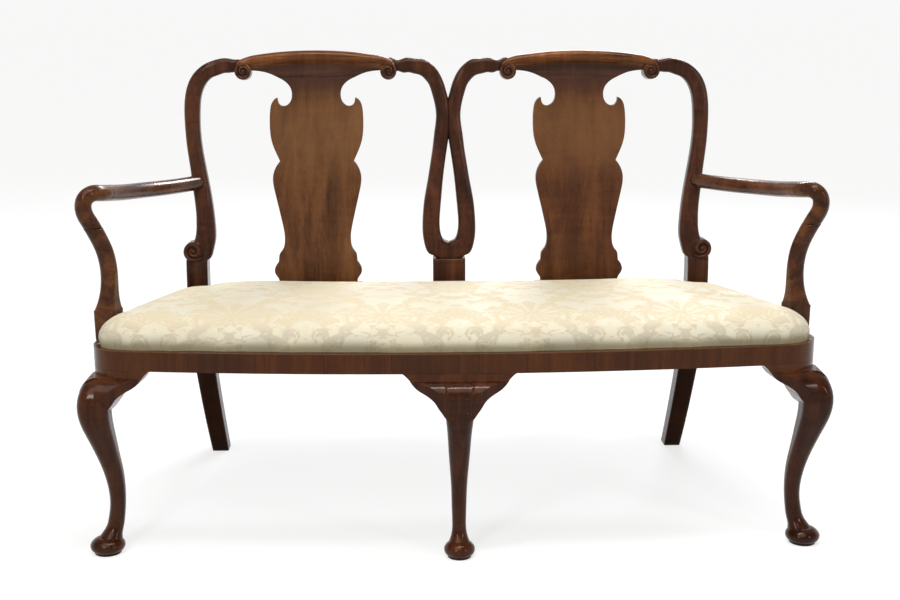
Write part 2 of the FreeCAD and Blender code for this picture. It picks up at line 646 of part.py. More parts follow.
def build_slip():
    edge = LIP + SLIP_GAP + COVER
    rear = SEAT_REAR - COVER
    inner = edge + SLIP_WIDE
    ring = seat_prism(edge, SLIP_LOW, RAIL_TOP, rear)
    ring = ring.cut(seat_prism(inner, REBATE_Z - 5, RAIL_TOP + 5, rear - SLIP_WIDE))
    split = front_y(STUMP_X, inner)
    far = rear - SLIP_WIDE
    nodes["slip_front_rail"] = ring.common(block((-900, 900), (-50, split), (0, 600)))
    side = ring.common(block((0, 900), (split, far), (0, 600)))
    pair("slip_side_rail", side)
    nodes["slip_rear_rail"] = ring.common(block((-900, 900), (far, 700), (0, 600)))
    bar = block((-30, 30), (20, far), (SLIP_LOW, RAIL_TOP))
    nodes["slip_middle_bar"] = bar.cut(nodes["slip_front_rail"])


def web_strips():
    edge = LIP + SLIP_GAP + COVER + 8
    area = seat_prism(edge, RAIL_TOP, RAIL_TOP + 2 * WEB_THICK, SEAT_REAR - COVER - 8)
    low = (RAIL_TOP, RAIL_TOP + WEB_THICK)
    high = (RAIL_TOP + WEB_THICK, RAIL_TOP + 2 * WEB_THICK)
    strips = []
    count = 9
    for i in range(count):
        x = (i - (count - 1) / 2) * 128
        strips.append(area.common(block((x - 25, x + 25), (-50, 700), low)))
    for i in range(4):
        y = 130 + (SEAT_REAR - 258) / 3 * i
        strips.append(area.common(block((-900, 900), (y - 25, y + 25), high)))
    return strips


def tack_spots():
    spots = []
    edge = LIP + SLIP_GAP + COVER + 24
    for i in range(9):
        x = (i - 4) * 128
        for dx in (-14, 14):
            spots.append((x + dx, front_y(x + dx, edge)))
            spots.append((x + dx, SEAT_REAR - COVER - 24))
    return [s for s in spots if abs(s[0]) < side_x(s[1], edge)]


def tack(x, y, gap=0.0):
    z = RAIL_TOP + WEB_THICK
    head = Part.makeCylinder(4 + gap, 1.0, V(x, y, z))
    return head.fuse(Part.makeCylinder(1 + gap, 10 + gap, V(x, y, z - 10 - gap)))


SEAT_CURVE = [(0, 0), (14, 1), (27, 6.5), (38, 18), (46, 40), (51, 80), (54, 138), (55.5, 200)]


def dome(skin):
    wires = []
    for h, inset in SEAT_CURVE:
        h = h * CROWN / 55.5
        z = RAIL_TOP + (h - skin if h > 0 else 0)
        edge = LIP + SLIP_GAP + inset + skin
        rear = SEAT_REAR - inset - skin
        swell = math.sin(math.pi * inset / SEAT_CURVE[-1][1])
        wires.append(seat_wire(edge, z, rear, 52 + 30 * swell, 26 + 40 * swell))
    return loft(wires)


def build_stuffed_seat():
    outer = dome(0)
    inner = dome(COVER)
    edge = LIP + SLIP_GAP
    rise = V(0, 0, RAIL_TOP - SLIP_LOW)
    skirt = Part.Face(seat_wire(edge, SLIP_LOW, SEAT_REAR, 52, 26)).extrude(rise)
    hollow = Part.Face(seat_wire(edge + COVER, SLIP_LOW, SEAT_REAR - COVER, 52, 26)).extrude(rise)
    floor = RAIL_TOP + 2 * WEB_THICK
    base = block((-900, 900), (-50, 700), (0, floor + HESSIAN))
    nodes["seat_cover"] = skirt.cut(hollow).fuse(outer.cut(inner))
    nodes["seat_stuffing"] = inner.cut(base)
    sheet = seat_prism(edge + COVER + 6, floor, floor + HESSIAN, SEAT_REAR - COVER - 6)
    nodes["seat_hessian"] = sheet
    for name in ("slip_front_rail", "slip_rear_rail", "right_slip_side_rail", "left_slip_side_rail"):
        nodes[name] = nodes[name].common(hollow)
    strips = web_strips()
    tacks = []
    holes = []
    for x, y in tack_spots():
        tacks.append(tack(x, y))
        holes.append(tack(x, y, GAP))
    cutter = Part.makeCompound(holes)
    nodes["seat_webbing"] = Part.makeCompound([s.cut(cutter) for s in strips])
    nodes["webbing_tacks"] = Part.makeCompound(tacks)
    for name in ("slip_front_rail", "slip_rear_rail"):
        nodes[name] = nodes[name].cut(cutter)


def build_all():
    post, stile, rail, board, base = build_back()
    front, side, rear, leg, post, middle = build_seat_frame(post)

    hand = arm().cut(post)
    stand = support()
    stand = stand.cut(seat_prism(0, RAIL_LOW - 60, RAIL_TOP, SEAT_DEPTH + 20))
    hand = hand.cut(arm_dowel(GAP))
    stand = stand.cut(arm_dowel(GAP))
    dowels = [arm_dowel(0), mirrored(arm_dowel(0))]

    screws = []
    screw_cuts = []
    for dy in (-13, 13):
        y = ARM_Y + dy
        start = V(side_x(y, RAIL_THICK - 6), y, RAIL_LOW + 12)
        end = V(side_x(y, -14), y, RAIL_LOW + 12)
        screws.append(screw(start, end))
        screw_cuts.append(screw_hole(start, end))
    holes = Part.makeCompound(screw_cuts)
    side = side.cut(holes)
    stand = stand.cut(holes)

    spandrels = {}
    slope = STUMP_X / BOW_RADIUS
    run = V(-1, -slope, 0).normalize()
    out = V(slope, -1, 0).normalize()
    origin = V(CORNER.x + 60, front_y(STUMP_X) + slope * (CORNER.x + 60 - STUMP_X), 0)
    spandrels["leg_front_bracket"] = bracket(origin, run, out, 34).cut(leg)
    origin = V(CORNER.x + 62, CORNER.y - 74, 0)
    flank = bracket(origin, V(0, 1, 0), V(1, 0, 0), 27).cut(leg)
    flank = flank.cut(spandrels["leg_front_bracket"])
    # the chip left between the leg and the front bracket isn't part of this one
    spandrels["leg_side_bracket"] = max(flank.Solids, key=lambda piece: piece.Volume)
    stub = centre_leg()
    centre = bracket(V(0, 0.6, 0), V(1, 0, 0), V(0, -1, 0), 29.5).cut(stub)

    leaves, sides = build_facing()
    sides = [s.cut(stand).cut(holes).cut(post) for s in sides]
    veneers = leaves + sides + [mirrored(s) for s in sides]

    top = REBATE_Z - 3
    low = RAIL_LOW - 12
    y = STUMP_Y - 62
    corner = polygon([V(STUMP_X - 75, y, low), V(STUMP_X, y, low), V(STUMP_X, STUMP_Y + 58, low)])
    corner = corner.extrude(V(0, 0, top - low))
    corner = corner.cut(seat_prism(0, low - 1, top + 1, SEAT_DEPTH).cut(
        seat_prism(RAIL_THICK, low - 1, top + 1, SEAT_DEPTH)))
    corner = corner.cut(seat_prism(0, low - 1, top + 1, SEAT_DEPTH).common(
        block((STUMP_X, 900), (-50, STUMP_Y), (low - 1, top + 1))))
    corner = corner.cut(spandrels["leg_front_bracket"]).cut(spandrels["leg_side_bracket"])
    y = SEAT_DEPTH - 22
    x = side_x(y, RAIL_THICK)
    heel = polygon([V(x - 84, y, low), V(x, y, low),
                    V(side_x(y - 75, RAIL_THICK), y - 75, low)])
    heel = heel.extrude(V(0, 0, top - low))
    block_cuts = []
    for z in (low + 9, top - 9):
        start = V(STUMP_X - 32, STUMP_Y - 4, z)
        end = V(STUMP_X + 16, STUMP_Y - 26, z)
        screws.append(screw(start, end))
        block_cuts.append(screw_hole(start, end))
        start = V(x - 28, y - 34, z)
        end = V(side_x(y - 20, RAIL_THICK) + 18, y - 20, z)
        screws.append(screw(start, end))
        block_cuts.append(screw_hole(start, end))
    cutter = Part.makeCompound(block_cuts)
    corner = corner.cut(cutter)
    heel = heel.cut(cutter)
    leg = leg.cut(cutter)
    side = side.cut(cutter)

    brace = block((-24, 24), (front_y(0, RAIL_THICK), SEAT_DEPTH - 22), (low, REBATE_Z - 6)).cut(front)

    pair("rear_post", post)
    pair("inner_stile", stile)
    nodes["centre_back_post"] = middle
    pair("crest_rail", rail)
    pair("splat", board)
    pair("splat_shoe", base)
    pair("arm", hand)
    pair("arm_support", stand)
    nodes["arm_dowels"] = Part.makeCompound(dowels)
    nodes["front_seat_rail"] = front
    pair("side_rail", side)
    nodes["rear_seat_rail"] = rear
    nodes["seat_brace"] = brace
    nodes["rail_facing"] = Part.makeCompound(veneers)
    nodes["corner_blocks"] = Part.makeCompound([corner, heel, mirrored(corner), mirrored(heel)])
    nodes["frame_screws"] = Part.makeCompound(screws + [mirrored(s) for s in screws])
    pair("front_leg", leg)
    nodes["centre_front_leg"] = stub
    for name, shape in spandrels.items():
        pair(name, shape)
    pair("centre_bracket", centre)
    build_slip()
    build_stuffed_seat()


build_all()
os.makedirs("parts", exist_ok=True)
for name, shape in nodes.items():
    shape = shape.copy()
    shape.translate(SHIFT)
    shape.exportStep("parts/" + name + ".step")
    print(name, len(shape.Solids), "solid(s)", shape.isValid(), round(shape.Volume / 1000, 1), "cm3")
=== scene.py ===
import bmesh
import bpy
import math
from mathutils import Matrix, Vector


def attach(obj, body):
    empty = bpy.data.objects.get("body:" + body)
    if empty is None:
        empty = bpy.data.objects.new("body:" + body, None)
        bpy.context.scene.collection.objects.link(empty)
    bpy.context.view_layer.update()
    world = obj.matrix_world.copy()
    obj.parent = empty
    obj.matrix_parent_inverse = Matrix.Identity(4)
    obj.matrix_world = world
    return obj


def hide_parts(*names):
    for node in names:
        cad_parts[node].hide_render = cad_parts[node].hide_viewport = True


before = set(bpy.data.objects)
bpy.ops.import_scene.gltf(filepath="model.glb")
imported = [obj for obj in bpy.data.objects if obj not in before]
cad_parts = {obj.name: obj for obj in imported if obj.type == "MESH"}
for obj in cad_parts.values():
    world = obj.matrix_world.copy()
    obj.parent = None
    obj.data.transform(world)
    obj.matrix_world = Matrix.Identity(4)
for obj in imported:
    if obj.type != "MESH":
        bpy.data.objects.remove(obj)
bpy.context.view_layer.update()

# Camera: place in metres, turns in degrees, lens and sensor in millimetres
CAMERA_AT = (-0.1082, -2.7147, 1.0512)
CAMERA_DOWN = 12.75
CAMERA_RIGHT = 2.15
CAMERA_LENS = 52.76
CAMERA_SENSOR = 36.0

# Places on the settee, in metres, with the crest's tilt in degrees
CHAIR_CENTRE = 0.2955
CREST_END = 0.1615
CREST_SCROLL = (0.2700, 0.8995)
CREST_TILT = 5.46
POST_SCROLL = (0.574, 0.2071, 0.505)
ROLL_LOW = 0.913
ROLL_BLEND = 0.010
ROLL_FALL = 0.6
KNEE_TOP = 0.352
KNEE_JOINT = 0.0006
RAIL_TOP = 0.405
SLIP_LOW = 0.3873
SEAT_FLOOR = 0.4094
LEAF_REACH = 0.63997
LEAF_WIDE = LEAF_REACH / 5
LEAF_SIDE = -0.19927
LEAF_LONG = 0.13826
BOW_RADIUS = 4.770
FRONT_FACE = -0.3215
SIDE_REACH = 0.7132
SIDE_SPLAY = math.radians(15.4)
SEAT_REAR = 0.2005
SUPPORT_Y = -0.1265


# Shader helpers

def put(tree, kind, values=None, **settings):
    made = tree.nodes.new(kind)
    for key, value in settings.items():
        setattr(made, key, value)
    for key, value in (values or {}).items():
        socket = made.inputs[key]
        if isinstance(value, bpy.types.NodeSocket):
            tree.links.new(value, socket)
        else:
            socket.default_value = value
    return made


def math_node(tree, operation, first, second=0.0, third=0.0):
    made = put(tree, "ShaderNodeMath", {0: first, 1: second, 2: third}, operation=operation)
    return made.outputs[0]


def vector_node(tree, operation, first, second):
    where = "Scale" if operation == "SCALE" else 1
    made = put(tree, "ShaderNodeVectorMath", {0: first, where: second}, operation=operation)
    return made.outputs[0]


def axes_of(tree, vector):
    return put(tree, "ShaderNodeSeparateXYZ", {0: vector}).outputs


def noise(tree, vector, scale, detail=2.0, rough=0.5, distortion=0.0):
    made = put(tree, "ShaderNodeTexNoise", {
        "Vector": vector, "Scale": scale, "Detail": detail, "Roughness": rough,
        "Distortion": distortion})
    return made.outputs["Fac"]


def stretch(tree, vector, scale, offset=(0, 0, 0), turn=(0, 0, 0)):
    made = put(tree, "ShaderNodeMapping", {
        "Vector": vector, "Location": offset, "Rotation": turn, "Scale": scale})
    return made.outputs[0]


def nudged(tree, vector, source, scale, detail, reach):
    # the vector pushed about by a soft noise, by half of reach at most each way
    sway = put(tree, "ShaderNodeTexNoise", {"Vector": source, "Scale": scale, "Detail": detail})
    push = vector_node(tree, "SUBTRACT", sway.outputs["Color"], (0.5, 0.5, 0.5))
    return vector_node(tree, "ADD", vector, vector_node(tree, "SCALE", push, reach))


def ramp(tree, value, stops):
    made = put(tree, "ShaderNodeValToRGB", {"Fac": value})
    while len(made.color_ramp.elements) < len(stops):
        made.color_ramp.elements.new(0.5)
    for element, (place, colour) in zip(made.color_ramp.elements, stops):
        element.position = place
        element.color = (*colour, 1.0)
    return made.outputs["Color"]


def remap(tree, value, low, high, to_low=0.0, to_high=1.0, smooth=False):
    made = put(tree, "ShaderNodeMapRange", {
        "Value": value, "From Min": low, "From Max": high, "To Min": to_low, "To Max": to_high})
    made.interpolation_type = "SMOOTHSTEP" if smooth else "LINEAR"
    return made.outputs[0]


def blend(tree, amount, first, second):
    made = tree.nodes.new("ShaderNodeMix")
    made.data_type = "RGBA"
    made.clamp_factor = True
    for socket, value in ((made.inputs[0], amount), (made.inputs[6], first), (made.inputs[7], second)):
        if isinstance(value, bpy.types.NodeSocket):
            tree.links.new(value, socket)
        else:
            socket.default_value = (*value, 1.0)
    return made.outputs[2]


def blend_value(tree, amount, first, second):
    made = put(tree, "ShaderNodeMix", {0: amount, 2: first, 3: second})
    return made.outputs[0]


def group(name, inputs, outputs):
    tree = bpy.data.node_groups.new(name, "ShaderNodeTree")
    for label, kind, value in inputs:
        socket = tree.interface.new_socket(label, in_out="INPUT", socket_type="NodeSocket" + kind)
        if value is not None:
            socket.default_value = value
    for label, kind in outputs:
        tree.interface.new_socket(label, in_out="OUTPUT", socket_type="NodeSocket" + kind)
    return tree, tree.nodes.new("NodeGroupInput").outputs, tree.nodes.new("NodeGroupOutput").inputs


# Walnut's marks: how many in a metre, twice across the grain and then along it
SWAY = (3.0, 3.0, 1.6)
BANDS = (34.0, 34.0, 1.7)
FIBRES = (420.0, 420.0, 9.0)
FLAMES = (9.0, 9.0, 46.0)
PORES = (900.0, 900.0, 26.0)
CLOUDS = 7.0
SWAY_REACH = 0.05
PORE_TONE = (0.006, 0.002, 0.001)
PORE_DARKENS = 0.55


def walnut_figure_group():
    tree, given, out = group(
        "walnut_figure",
        [("Place", "Vector", None), ("Dark", "Color", (0.01, 0.004, 0.002, 1)),
         ("Middle", "Color", (0.05, 0.016, 0.006, 1)), ("Light", "Color", (0.12, 0.045, 0.015, 1)),
         ("Flame", "Float", 0.2)],
        [("Color", "Color"), ("Rough", "Float"), ("Height", "Float")])
    place = given["Place"]
    bent = nudged(tree, place, stretch(tree, place, SWAY), 1.0, 2.0, SWAY_REACH)
    bands = noise(tree, stretch(tree, bent, BANDS), 1.0, 4.0, 0.55, 0.6)
    fibre = noise(tree, stretch(tree, bent, FIBRES), 1.0, 2.0, 0.6)
    cloud = noise(tree, place, CLOUDS, 3.0, 0.6)
    flame = noise(tree, stretch(tree, bent, FLAMES), 1.0, 2.0, 0.5, 1.2)
    pores = noise(tree, stretch(tree, bent, PORES), 1.0, 1.0, 0.5)
    value = math_node(tree, "MULTIPLY", bands, 0.72)
    value = math_node(tree, "MULTIPLY_ADD", fibre, 0.24, value)
    value = math_node(tree, "MULTIPLY_ADD", cloud, 0.28, value)
    lift = math_node(tree, "MULTIPLY", math_node(tree, "SUBTRACT", flame, 0.5), given["Flame"])
    value = math_node(tree, "ADD", value, lift)
    brown = blend(tree, remap(tree, value, 0.40, 0.62), given["Dark"], given["Middle"])
    brown = blend(tree, remap(tree, value, 0.60, 0.86), brown, given["Light"])
    pore_mask = remap(tree, pores, 0.62, 0.72)
    shade = blend(tree, math_node(tree, "MULTIPLY", pore_mask, PORE_DARKENS), brown, PORE_TONE)
    tree.links.new(shade, out["Color"])
    rough = math_node(tree, "MULTIPLY_ADD", cloud, 0.16, 0.17)
    rough = math_node(tree, "MULTIPLY_ADD", pore_mask, 0.16, rough)
    tree.links.new(rough, out["Rough"])
    height = math_node(tree, "MULTIPLY_ADD", pore_mask, -0.8, math_node(tree, "MULTIPLY", fibre, 0.35))
    tree.links.new(height, out["Height"])
    return tree


def thread_group():
    tree, given, out = group(
        "plain_weave", [("Place", "Vector", None), ("Pitch", "Float", 1000.0)],
        [("Height", "Float"), ("Warp", "Float")])
    axes = axes_of(tree, vector_node(tree, "SCALE", given["Place"], given["Pitch"]))
    over = math_node(tree, "SINE", math_node(tree, "MULTIPLY", axes[0], math.pi))
    under = math_node(tree, "SINE", math_node(tree, "MULTIPLY", axes[1], math.pi))
    cross = math_node(tree, "MULTIPLY", over, under)
    tree.links.new(math_node(tree, "ABSOLUTE", cross), out["Height"])
    tree.links.new(math_node(tree, "MULTIPLY_ADD", cross, 0.5, 0.5), out["Warp"])
    return tree


WALNUT_FIGURE = walnut_figure_group()
PLAIN_WEAVE = thread_group()


def new_material(name):
    material = bpy.data.materials.new(name)
    material.use_nodes = True
    tree = material.node_tree
    return material, tree, tree.nodes["Principled BSDF"]


def object_place(tree):
    return put(tree, "ShaderNodeTexCoord").outputs["Object"]


# Browns of the woods, each dark, middle and light
FRAME = ((0.0105, 0.0028, 0.0011), (0.0490, 0.0138, 0.0054), (0.120, 0.038, 0.0135))
LEG = ((0.0090, 0.0022, 0.0007), (0.0450, 0.0112, 0.0036), (0.105, 0.031, 0.0095))
ARM = ((0.0130, 0.0036, 0.0012), (0.0750, 0.0232, 0.0076), (0.200, 0.070, 0.0210))
# the crest's browns carry a little blue, a painted purple-grey sheen on its face
CREST = ((0.0115, 0.0046, 0.0032), (0.0500, 0.0196, 0.0132), (0.115, 0.046, 0.0280))
# the roll's browns are lighter and warmer than the crest's: painted light on the top of the roll
CREST_ROLL_LIT = ((0.0330, 0.0092, 0.0024), (0.1750, 0.0570, 0.0150), (0.380, 0.142, 0.0400))
SCROLL = ((0.0140, 0.0043, 0.0020), (0.0700, 0.0236, 0.0110), (0.150, 0.053, 0.0230))
# the ground under a scroll's bead: painted shade of its recess, darker than the frame
SCROLL_GROUND_SHADE = (FRAME[0], FRAME[0], FRAME[1])
LEFT_SPLAT = ((0.0350, 0.0112, 0.0036), (0.1080, 0.0405, 0.0136), (0.190, 0.079, 0.027))
RIGHT_SPLAT = ((0.0270, 0.0080, 0.0026), (0.0840, 0.0272, 0.0088), (0.155, 0.056, 0.018))
LEAVES = ((0.0520, 0.0136, 0.0032), (0.0940, 0.0264, 0.0062), (0.142, 0.0440, 0.0104))
BEECH = ((0.25, 0.14, 0.065), (0.42, 0.26, 0.13), (0.52, 0.34, 0.18))

# Polish: a thin coat over the wood, with edges rounded in the shading
POLISH_TINT = (0.62, 0.30, 0.17, 1.0)
POLISH_SPECULAR = 0.20
POLISH_COAT = 0.24
COAT_ROUGH = 0.11
EDGE_ROUND = 0.0015
POST_ROUND = 0.011
ARM_ROUND = 0.006
LEG_ROUND = 0.0008
EDGE_SAMPLES = 6
PORE_BUMP = 0.25
PORE_DEEP = 0.0002

# Painted shade and age: rear legs below the seat painted darker as painted shade, with less coat, the feet
# darker towards the floor, and splats bleached in their middle and painted darker under the crest as
# painted shade
UNDER_SEAT_SHADE = (0.0060, 0.0022, 0.0014)
UNDER_SEAT_SHADE_SHARE = 0.6
POLISH_AND_SHADE_FROM = 0.36
POLISH_BLEND = 0.03
FOOT_DARK = (0.006, 0.0028, 0.0015)
FOOT_DARK_TOP = 0.012
FOOT_DARK_SHARE = 0.6
SPLAT_FADE = (0.245, 0.118, 0.046)
FADE_FROM = (0.62, 0.76)
FADE_TO = (0.88, 0.80)
FADE_SHARE = 1.3
SEAM_SHADE = (0.825, 0.885)
SEAM_SHARE = 0.85

GRAIN_TURN = {"z": (0, 0, 0), "x": (0, math.radians(90), 0), "y": (math.radians(90), 0, 0)}


def figure_of(tree, vector, browns, flame):
    figure = put(tree, "ShaderNodeGroup", {"Place": vector, "Flame": flame}, node_tree=WALNUT_FIGURE)
    for label, colour in zip(("Dark", "Middle", "Light"), browns):
        figure.inputs[label].default_value = (*colour, 1.0)
    return figure


def polish(tree, shader, figure, gloss, rounding=EDGE_ROUND):
    tree.links.new(math_node(tree, "ADD", figure.outputs["Rough"], gloss), shader.inputs["Roughness"])
    shader.inputs["Specular IOR Level"].default_value = POLISH_SPECULAR
    shader.inputs["Specular Tint"].default_value = POLISH_TINT
    shader.inputs["Coat Weight"].default_value = POLISH_COAT
    shader.inputs["Coat Roughness"].default_value = COAT_ROUGH
    softened = put(tree, "ShaderNodeBevel", {"Radius": rounding}, samples=EDGE_SAMPLES).outputs[0]
    bump = put(tree, "ShaderNodeBump", {
        "Strength": PORE_BUMP, "Distance": PORE_DEEP, "Height": figure.outputs["Height"],
        "Normal": softened})
    tree.links.new(bump.outputs[0], shader.inputs["Normal"])
    tree.links.new(softened, shader.inputs["Coat Normal"])


def walnut(name, browns, grain="z", offset=(0, 0, 0), flame=0.2, gloss=0.0, rounding=EDGE_ROUND,
           upper=None, fade=None, lit_roll=None, polish_and_shade_from=None):
    material, tree, shader = new_material(name)
    place = object_place(tree)
    moved = stretch(tree, place, (1, 1, 1), offset, GRAIN_TURN[grain])
    figure = figure_of(tree, moved, browns, flame)
    colour = figure.outputs["Color"]
    axes = axes_of(tree, place)
    height = axes[2]
    if lit_roll:
        # painted light: the rolled top of a crest takes lighter, warmer browns, as if lit from above; the
        # roll falls away from the middle of its chair
        lit_roll_figure = figure_of(tree, moved, lit_roll, flame)
        aside = math_node(tree, "SUBTRACT", math_node(tree, "ABSOLUTE", axes[0]), CHAIR_CENTRE)
        fall = math_node(tree, "MULTIPLY", aside, aside)
        level = math_node(tree, "MULTIPLY_ADD", fall, ROLL_FALL, height)
        on_roll = remap(tree, level, ROLL_LOW, ROLL_LOW + ROLL_BLEND, smooth=True)
        colour = blend(tree, on_roll, colour, lit_roll_figure.outputs["Color"])
    if upper:
        # what stands above the knees
        above = figure_of(tree, moved, upper, flame)
        over_knee = remap(tree, height, KNEE_TOP - KNEE_JOINT, KNEE_TOP)
        colour = blend(tree, over_knee, colour, above.outputs["Color"])
    if fade:
        bleached = math_node(tree, "MULTIPLY", remap(tree, height, *FADE_FROM, smooth=True),
                             remap(tree, height, *FADE_TO, smooth=True))
        bleached = math_node(tree, "MULTIPLY", bleached, figure.outputs["Rough"])
        colour = blend(tree, math_node(tree, "MULTIPLY", bleached, FADE_SHARE), colour, fade)
        # painted shade: the splat darkens towards the crest above it, in the crest's middle brown
        shaded = remap(tree, height, *SEAM_SHADE, 0.0, SEAM_SHARE, smooth=True)
        colour = blend(tree, shaded, colour, CREST[1])
    # every walnut part is darker in its lowest 12 mm, towards the floor
    colour = blend(tree, remap(tree, height, 0.0, FOOT_DARK_TOP, FOOT_DARK_SHARE, 0.0), colour, FOOT_DARK)
    polish(tree, shader, figure, gloss, rounding)
    # below the seat: painted shade darkens the rear legs, and the coat thins out there
    if polish_and_shade_from:
        finished = remap(tree, height, polish_and_shade_from, polish_and_shade_from + POLISH_BLEND, smooth=True)
        shade_under_seat = remap(tree, finished, 0.0, 1.0, UNDER_SEAT_SHADE_SHARE, 0.0)
        colour = blend(tree, shade_under_seat, colour, UNDER_SEAT_SHADE)
        tree.links.new(remap(tree, finished, 0.0, 1.0, 0.0, POLISH_COAT), shader.inputs["Coat Weight"])
    tree.links.new(colour, shader.inputs["Base Color"])
    return material


# Rail facing: leaves numbered along the front and then, from a number of their own, along the sides
SIDE_LEAVES_FROM = 20.0
LEAF_SLIDE = 7.0
LEAF_JOINT = (0.4935, 0.4985)
LEAF_FLAME = 0.1
LEAF_GLOSS = 0.02
LEAF_DULL = (0.010, 0.0028, 0.001)
LEAF_DULLEST = 0.62
JOINT_TONE = (0.004, 0.0016, 0.0008)
JOINT_SHARE = 0.75
RUBBED_AND_LIT_EDGE = (0.0022, 0.0004)
RUBBED_AND_LIT_TONE = (0.19, 0.075, 0.025)
RUBBED_AND_LIT_SHARE = 0.55


def leaved_walnut(name, browns, shift):
    # cross-grained leaves, each a little different, with a dark joint between neighbours
    material, tree, shader = new_material(name)
    place = object_place(tree)
    axes = axes_of(tree, place)
    across = math_node(tree, "DIVIDE", math_node(tree, "ADD", axes[0], LEAF_REACH), LEAF_WIDE)
    behind = math_node(tree, "DIVIDE", math_node(tree, "SUBTRACT", axes[1], LEAF_SIDE), LEAF_LONG)
    on_side = math_node(tree, "GREATER_THAN", math_node(tree, "ABSOLUTE", axes[0]), LEAF_REACH)
    run = blend_value(tree, on_side, across, math_node(tree, "ADD", behind, SIDE_LEAVES_FROM))
    number = math_node(tree, "FLOOR", run)
    near = math_node(tree, "ABSOLUTE", math_node(tree, "SUBTRACT", math_node(tree, "FRACT", run), 0.5))
    joint = remap(tree, near, *LEAF_JOINT, smooth=True)
    tone = put(tree, "ShaderNodeTexWhiteNoise", {"W": number}, noise_dimensions="1D").outputs["Value"]
    slide = put(tree, "ShaderNodeCombineXYZ", {
        0: math_node(tree, "MULTIPLY", tone, LEAF_SLIDE), 1: shift[0], 2: shift[1]})
    moved = vector_node(tree, "ADD", place, slide.outputs[0])
    figure = figure_of(tree, moved, browns, LEAF_FLAME)
    light = remap(tree, tone, 0.0, 1.0, LEAF_DULLEST, 1.0)
    colour = blend(tree, light, LEAF_DULL, figure.outputs["Color"])
    colour = blend(tree, math_node(tree, "MULTIPLY", joint, JOINT_SHARE), colour, JOINT_TONE)
    # a thin lighter band just under the rail's top: wear, and a painted highlight on the lip's edge
    rubbed_and_lit = remap(tree, axes[2], RAIL_TOP - RUBBED_AND_LIT_EDGE[0], RAIL_TOP - RUBBED_AND_LIT_EDGE[1], smooth=True)
    colour = blend(tree, math_node(tree, "MULTIPLY", rubbed_and_lit, RUBBED_AND_LIT_SHARE), colour, RUBBED_AND_LIT_TONE)
    tree.links.new(colour, shader.inputs["Base Color"])
    polish(tree, shader, figure, LEAF_GLOSS)
    return material


WOODS = {
    "post": walnut("post_walnut", FRAME, "z", (0.3, 0.1, 0.0), rounding=POST_ROUND,
                   polish_and_shade_from=POLISH_AND_SHADE_FROM),
    "stile": walnut("stile_walnut", FRAME, "z", (1.3, 0.4, 0.2), rounding=POST_ROUND),
    "leg": walnut("leg_walnut", LEG, "z", (2.1, 0.2, 0.7), rounding=LEG_ROUND, upper=LEAVES),
    "arm": walnut("arm_walnut", ARM, "y", (0.6, 1.7, 0.4), rounding=ARM_ROUND),
    "scroll": walnut("scroll_walnut", SCROLL, "x", (1.2, 0.3, 0.8)),
    "crest": walnut("crest_walnut", CREST, "x", (0.2, 0.9, 0.5), lit_roll=CREST_ROLL_LIT),
    "scroll_ground_shade": walnut("scroll_ground_walnut", SCROLL_GROUND_SHADE, "x", (0.7, 0.1, 0.2), 0.1, 0.2),
    "left_splat": walnut("left_splat_walnut", LEFT_SPLAT, "z", (0.9, 0.3, 0.1), 0.12, fade=SPLAT_FADE),
    "right_splat": walnut("right_splat_walnut", RIGHT_SPLAT, "z", (3.4, 0.8, 0.6), 0.2, fade=SPLAT_FADE),
    "facing": leaved_walnut("facing_walnut", LEAVES, (0.2, 0.3)),
    "rail": walnut("rail_walnut", FRAME, "x", (0.1, 2.2, 0.4)),
    "beech": walnut("beech_wood", BEECH, "x", (0.7, 0.4, 1.9), 0.05, 0.3),
}

# Steel and jute inside the seat
STEEL_SPOTS = 260.0
STEEL_DARK = (0.06, 0.055, 0.05)
STEEL_PALE = (0.22, 0.2, 0.18)
JUTE_SLUBS = (60.0, 900.0, 60.0)
JUTE_ROUGH = 0.9
JUTE_SPECULAR = 0.2
JUTE_BUMP = 0.7
JUTE_DEEP = 0.0004


def steel():
    material, tree, shader = new_material("dull_steel")
    spots = noise(tree, object_place(tree), STEEL_SPOTS, 3.0, 0.6)
    colour = ramp(tree, spots, [(0.35, STEEL_DARK), (0.7, STEEL_PALE)])
    tree.links.new(colour, shader.inputs["Base Color"])
    tree.links.new(remap(tree, spots, 0.3, 0.7, 0.55, 0.3), shader.inputs["Roughness"])
    shader.inputs["Metallic"].default_value = 1.0
    return material


def jute(name, pitch, pale, deep):
    material, tree, shader = new_material(name)
    place = object_place(tree)
    weave = put(tree, "ShaderNodeGroup", {"Place": place, "Pitch": pitch}, node_tree=PLAIN_WEAVE)
    slub = noise(tree, stretch(tree, place, JUTE_SLUBS), 1.0, 3.0)
    tone = math_node(tree, "MULTIPLY", slub, 0.75)
    tone = math_node(tree, "MULTIPLY_ADD", weave.outputs["Warp"], 0.35, tone)
    colour = ramp(tree, tone, [(0.25, deep), (0.8, pale)])
    tree.links.new(colour, shader.inputs["Base Color"])
    shader.inputs["Roughness"].default_value = JUTE_ROUGH
    shader.inputs["Specular IOR Level"].default_value = JUTE_SPECULAR
    bump = put(tree, "ShaderNodeBump", {
        "Strength": JUTE_BUMP, "Distance": JUTE_DEEP, "Height": weave.outputs["Height"]})
    tree.links.new(bump.outputs[0], shader.inputs["Normal"])
    return material


STEEL = steel()
WEBBING = jute("jute_webbing", 480.0, (0.42, 0.29, 0.16), (0.2, 0.13, 0.065))
HESSIAN = jute("jute_hessian", 620.0, (0.45, 0.33, 0.19), (0.24, 0.16, 0.085))

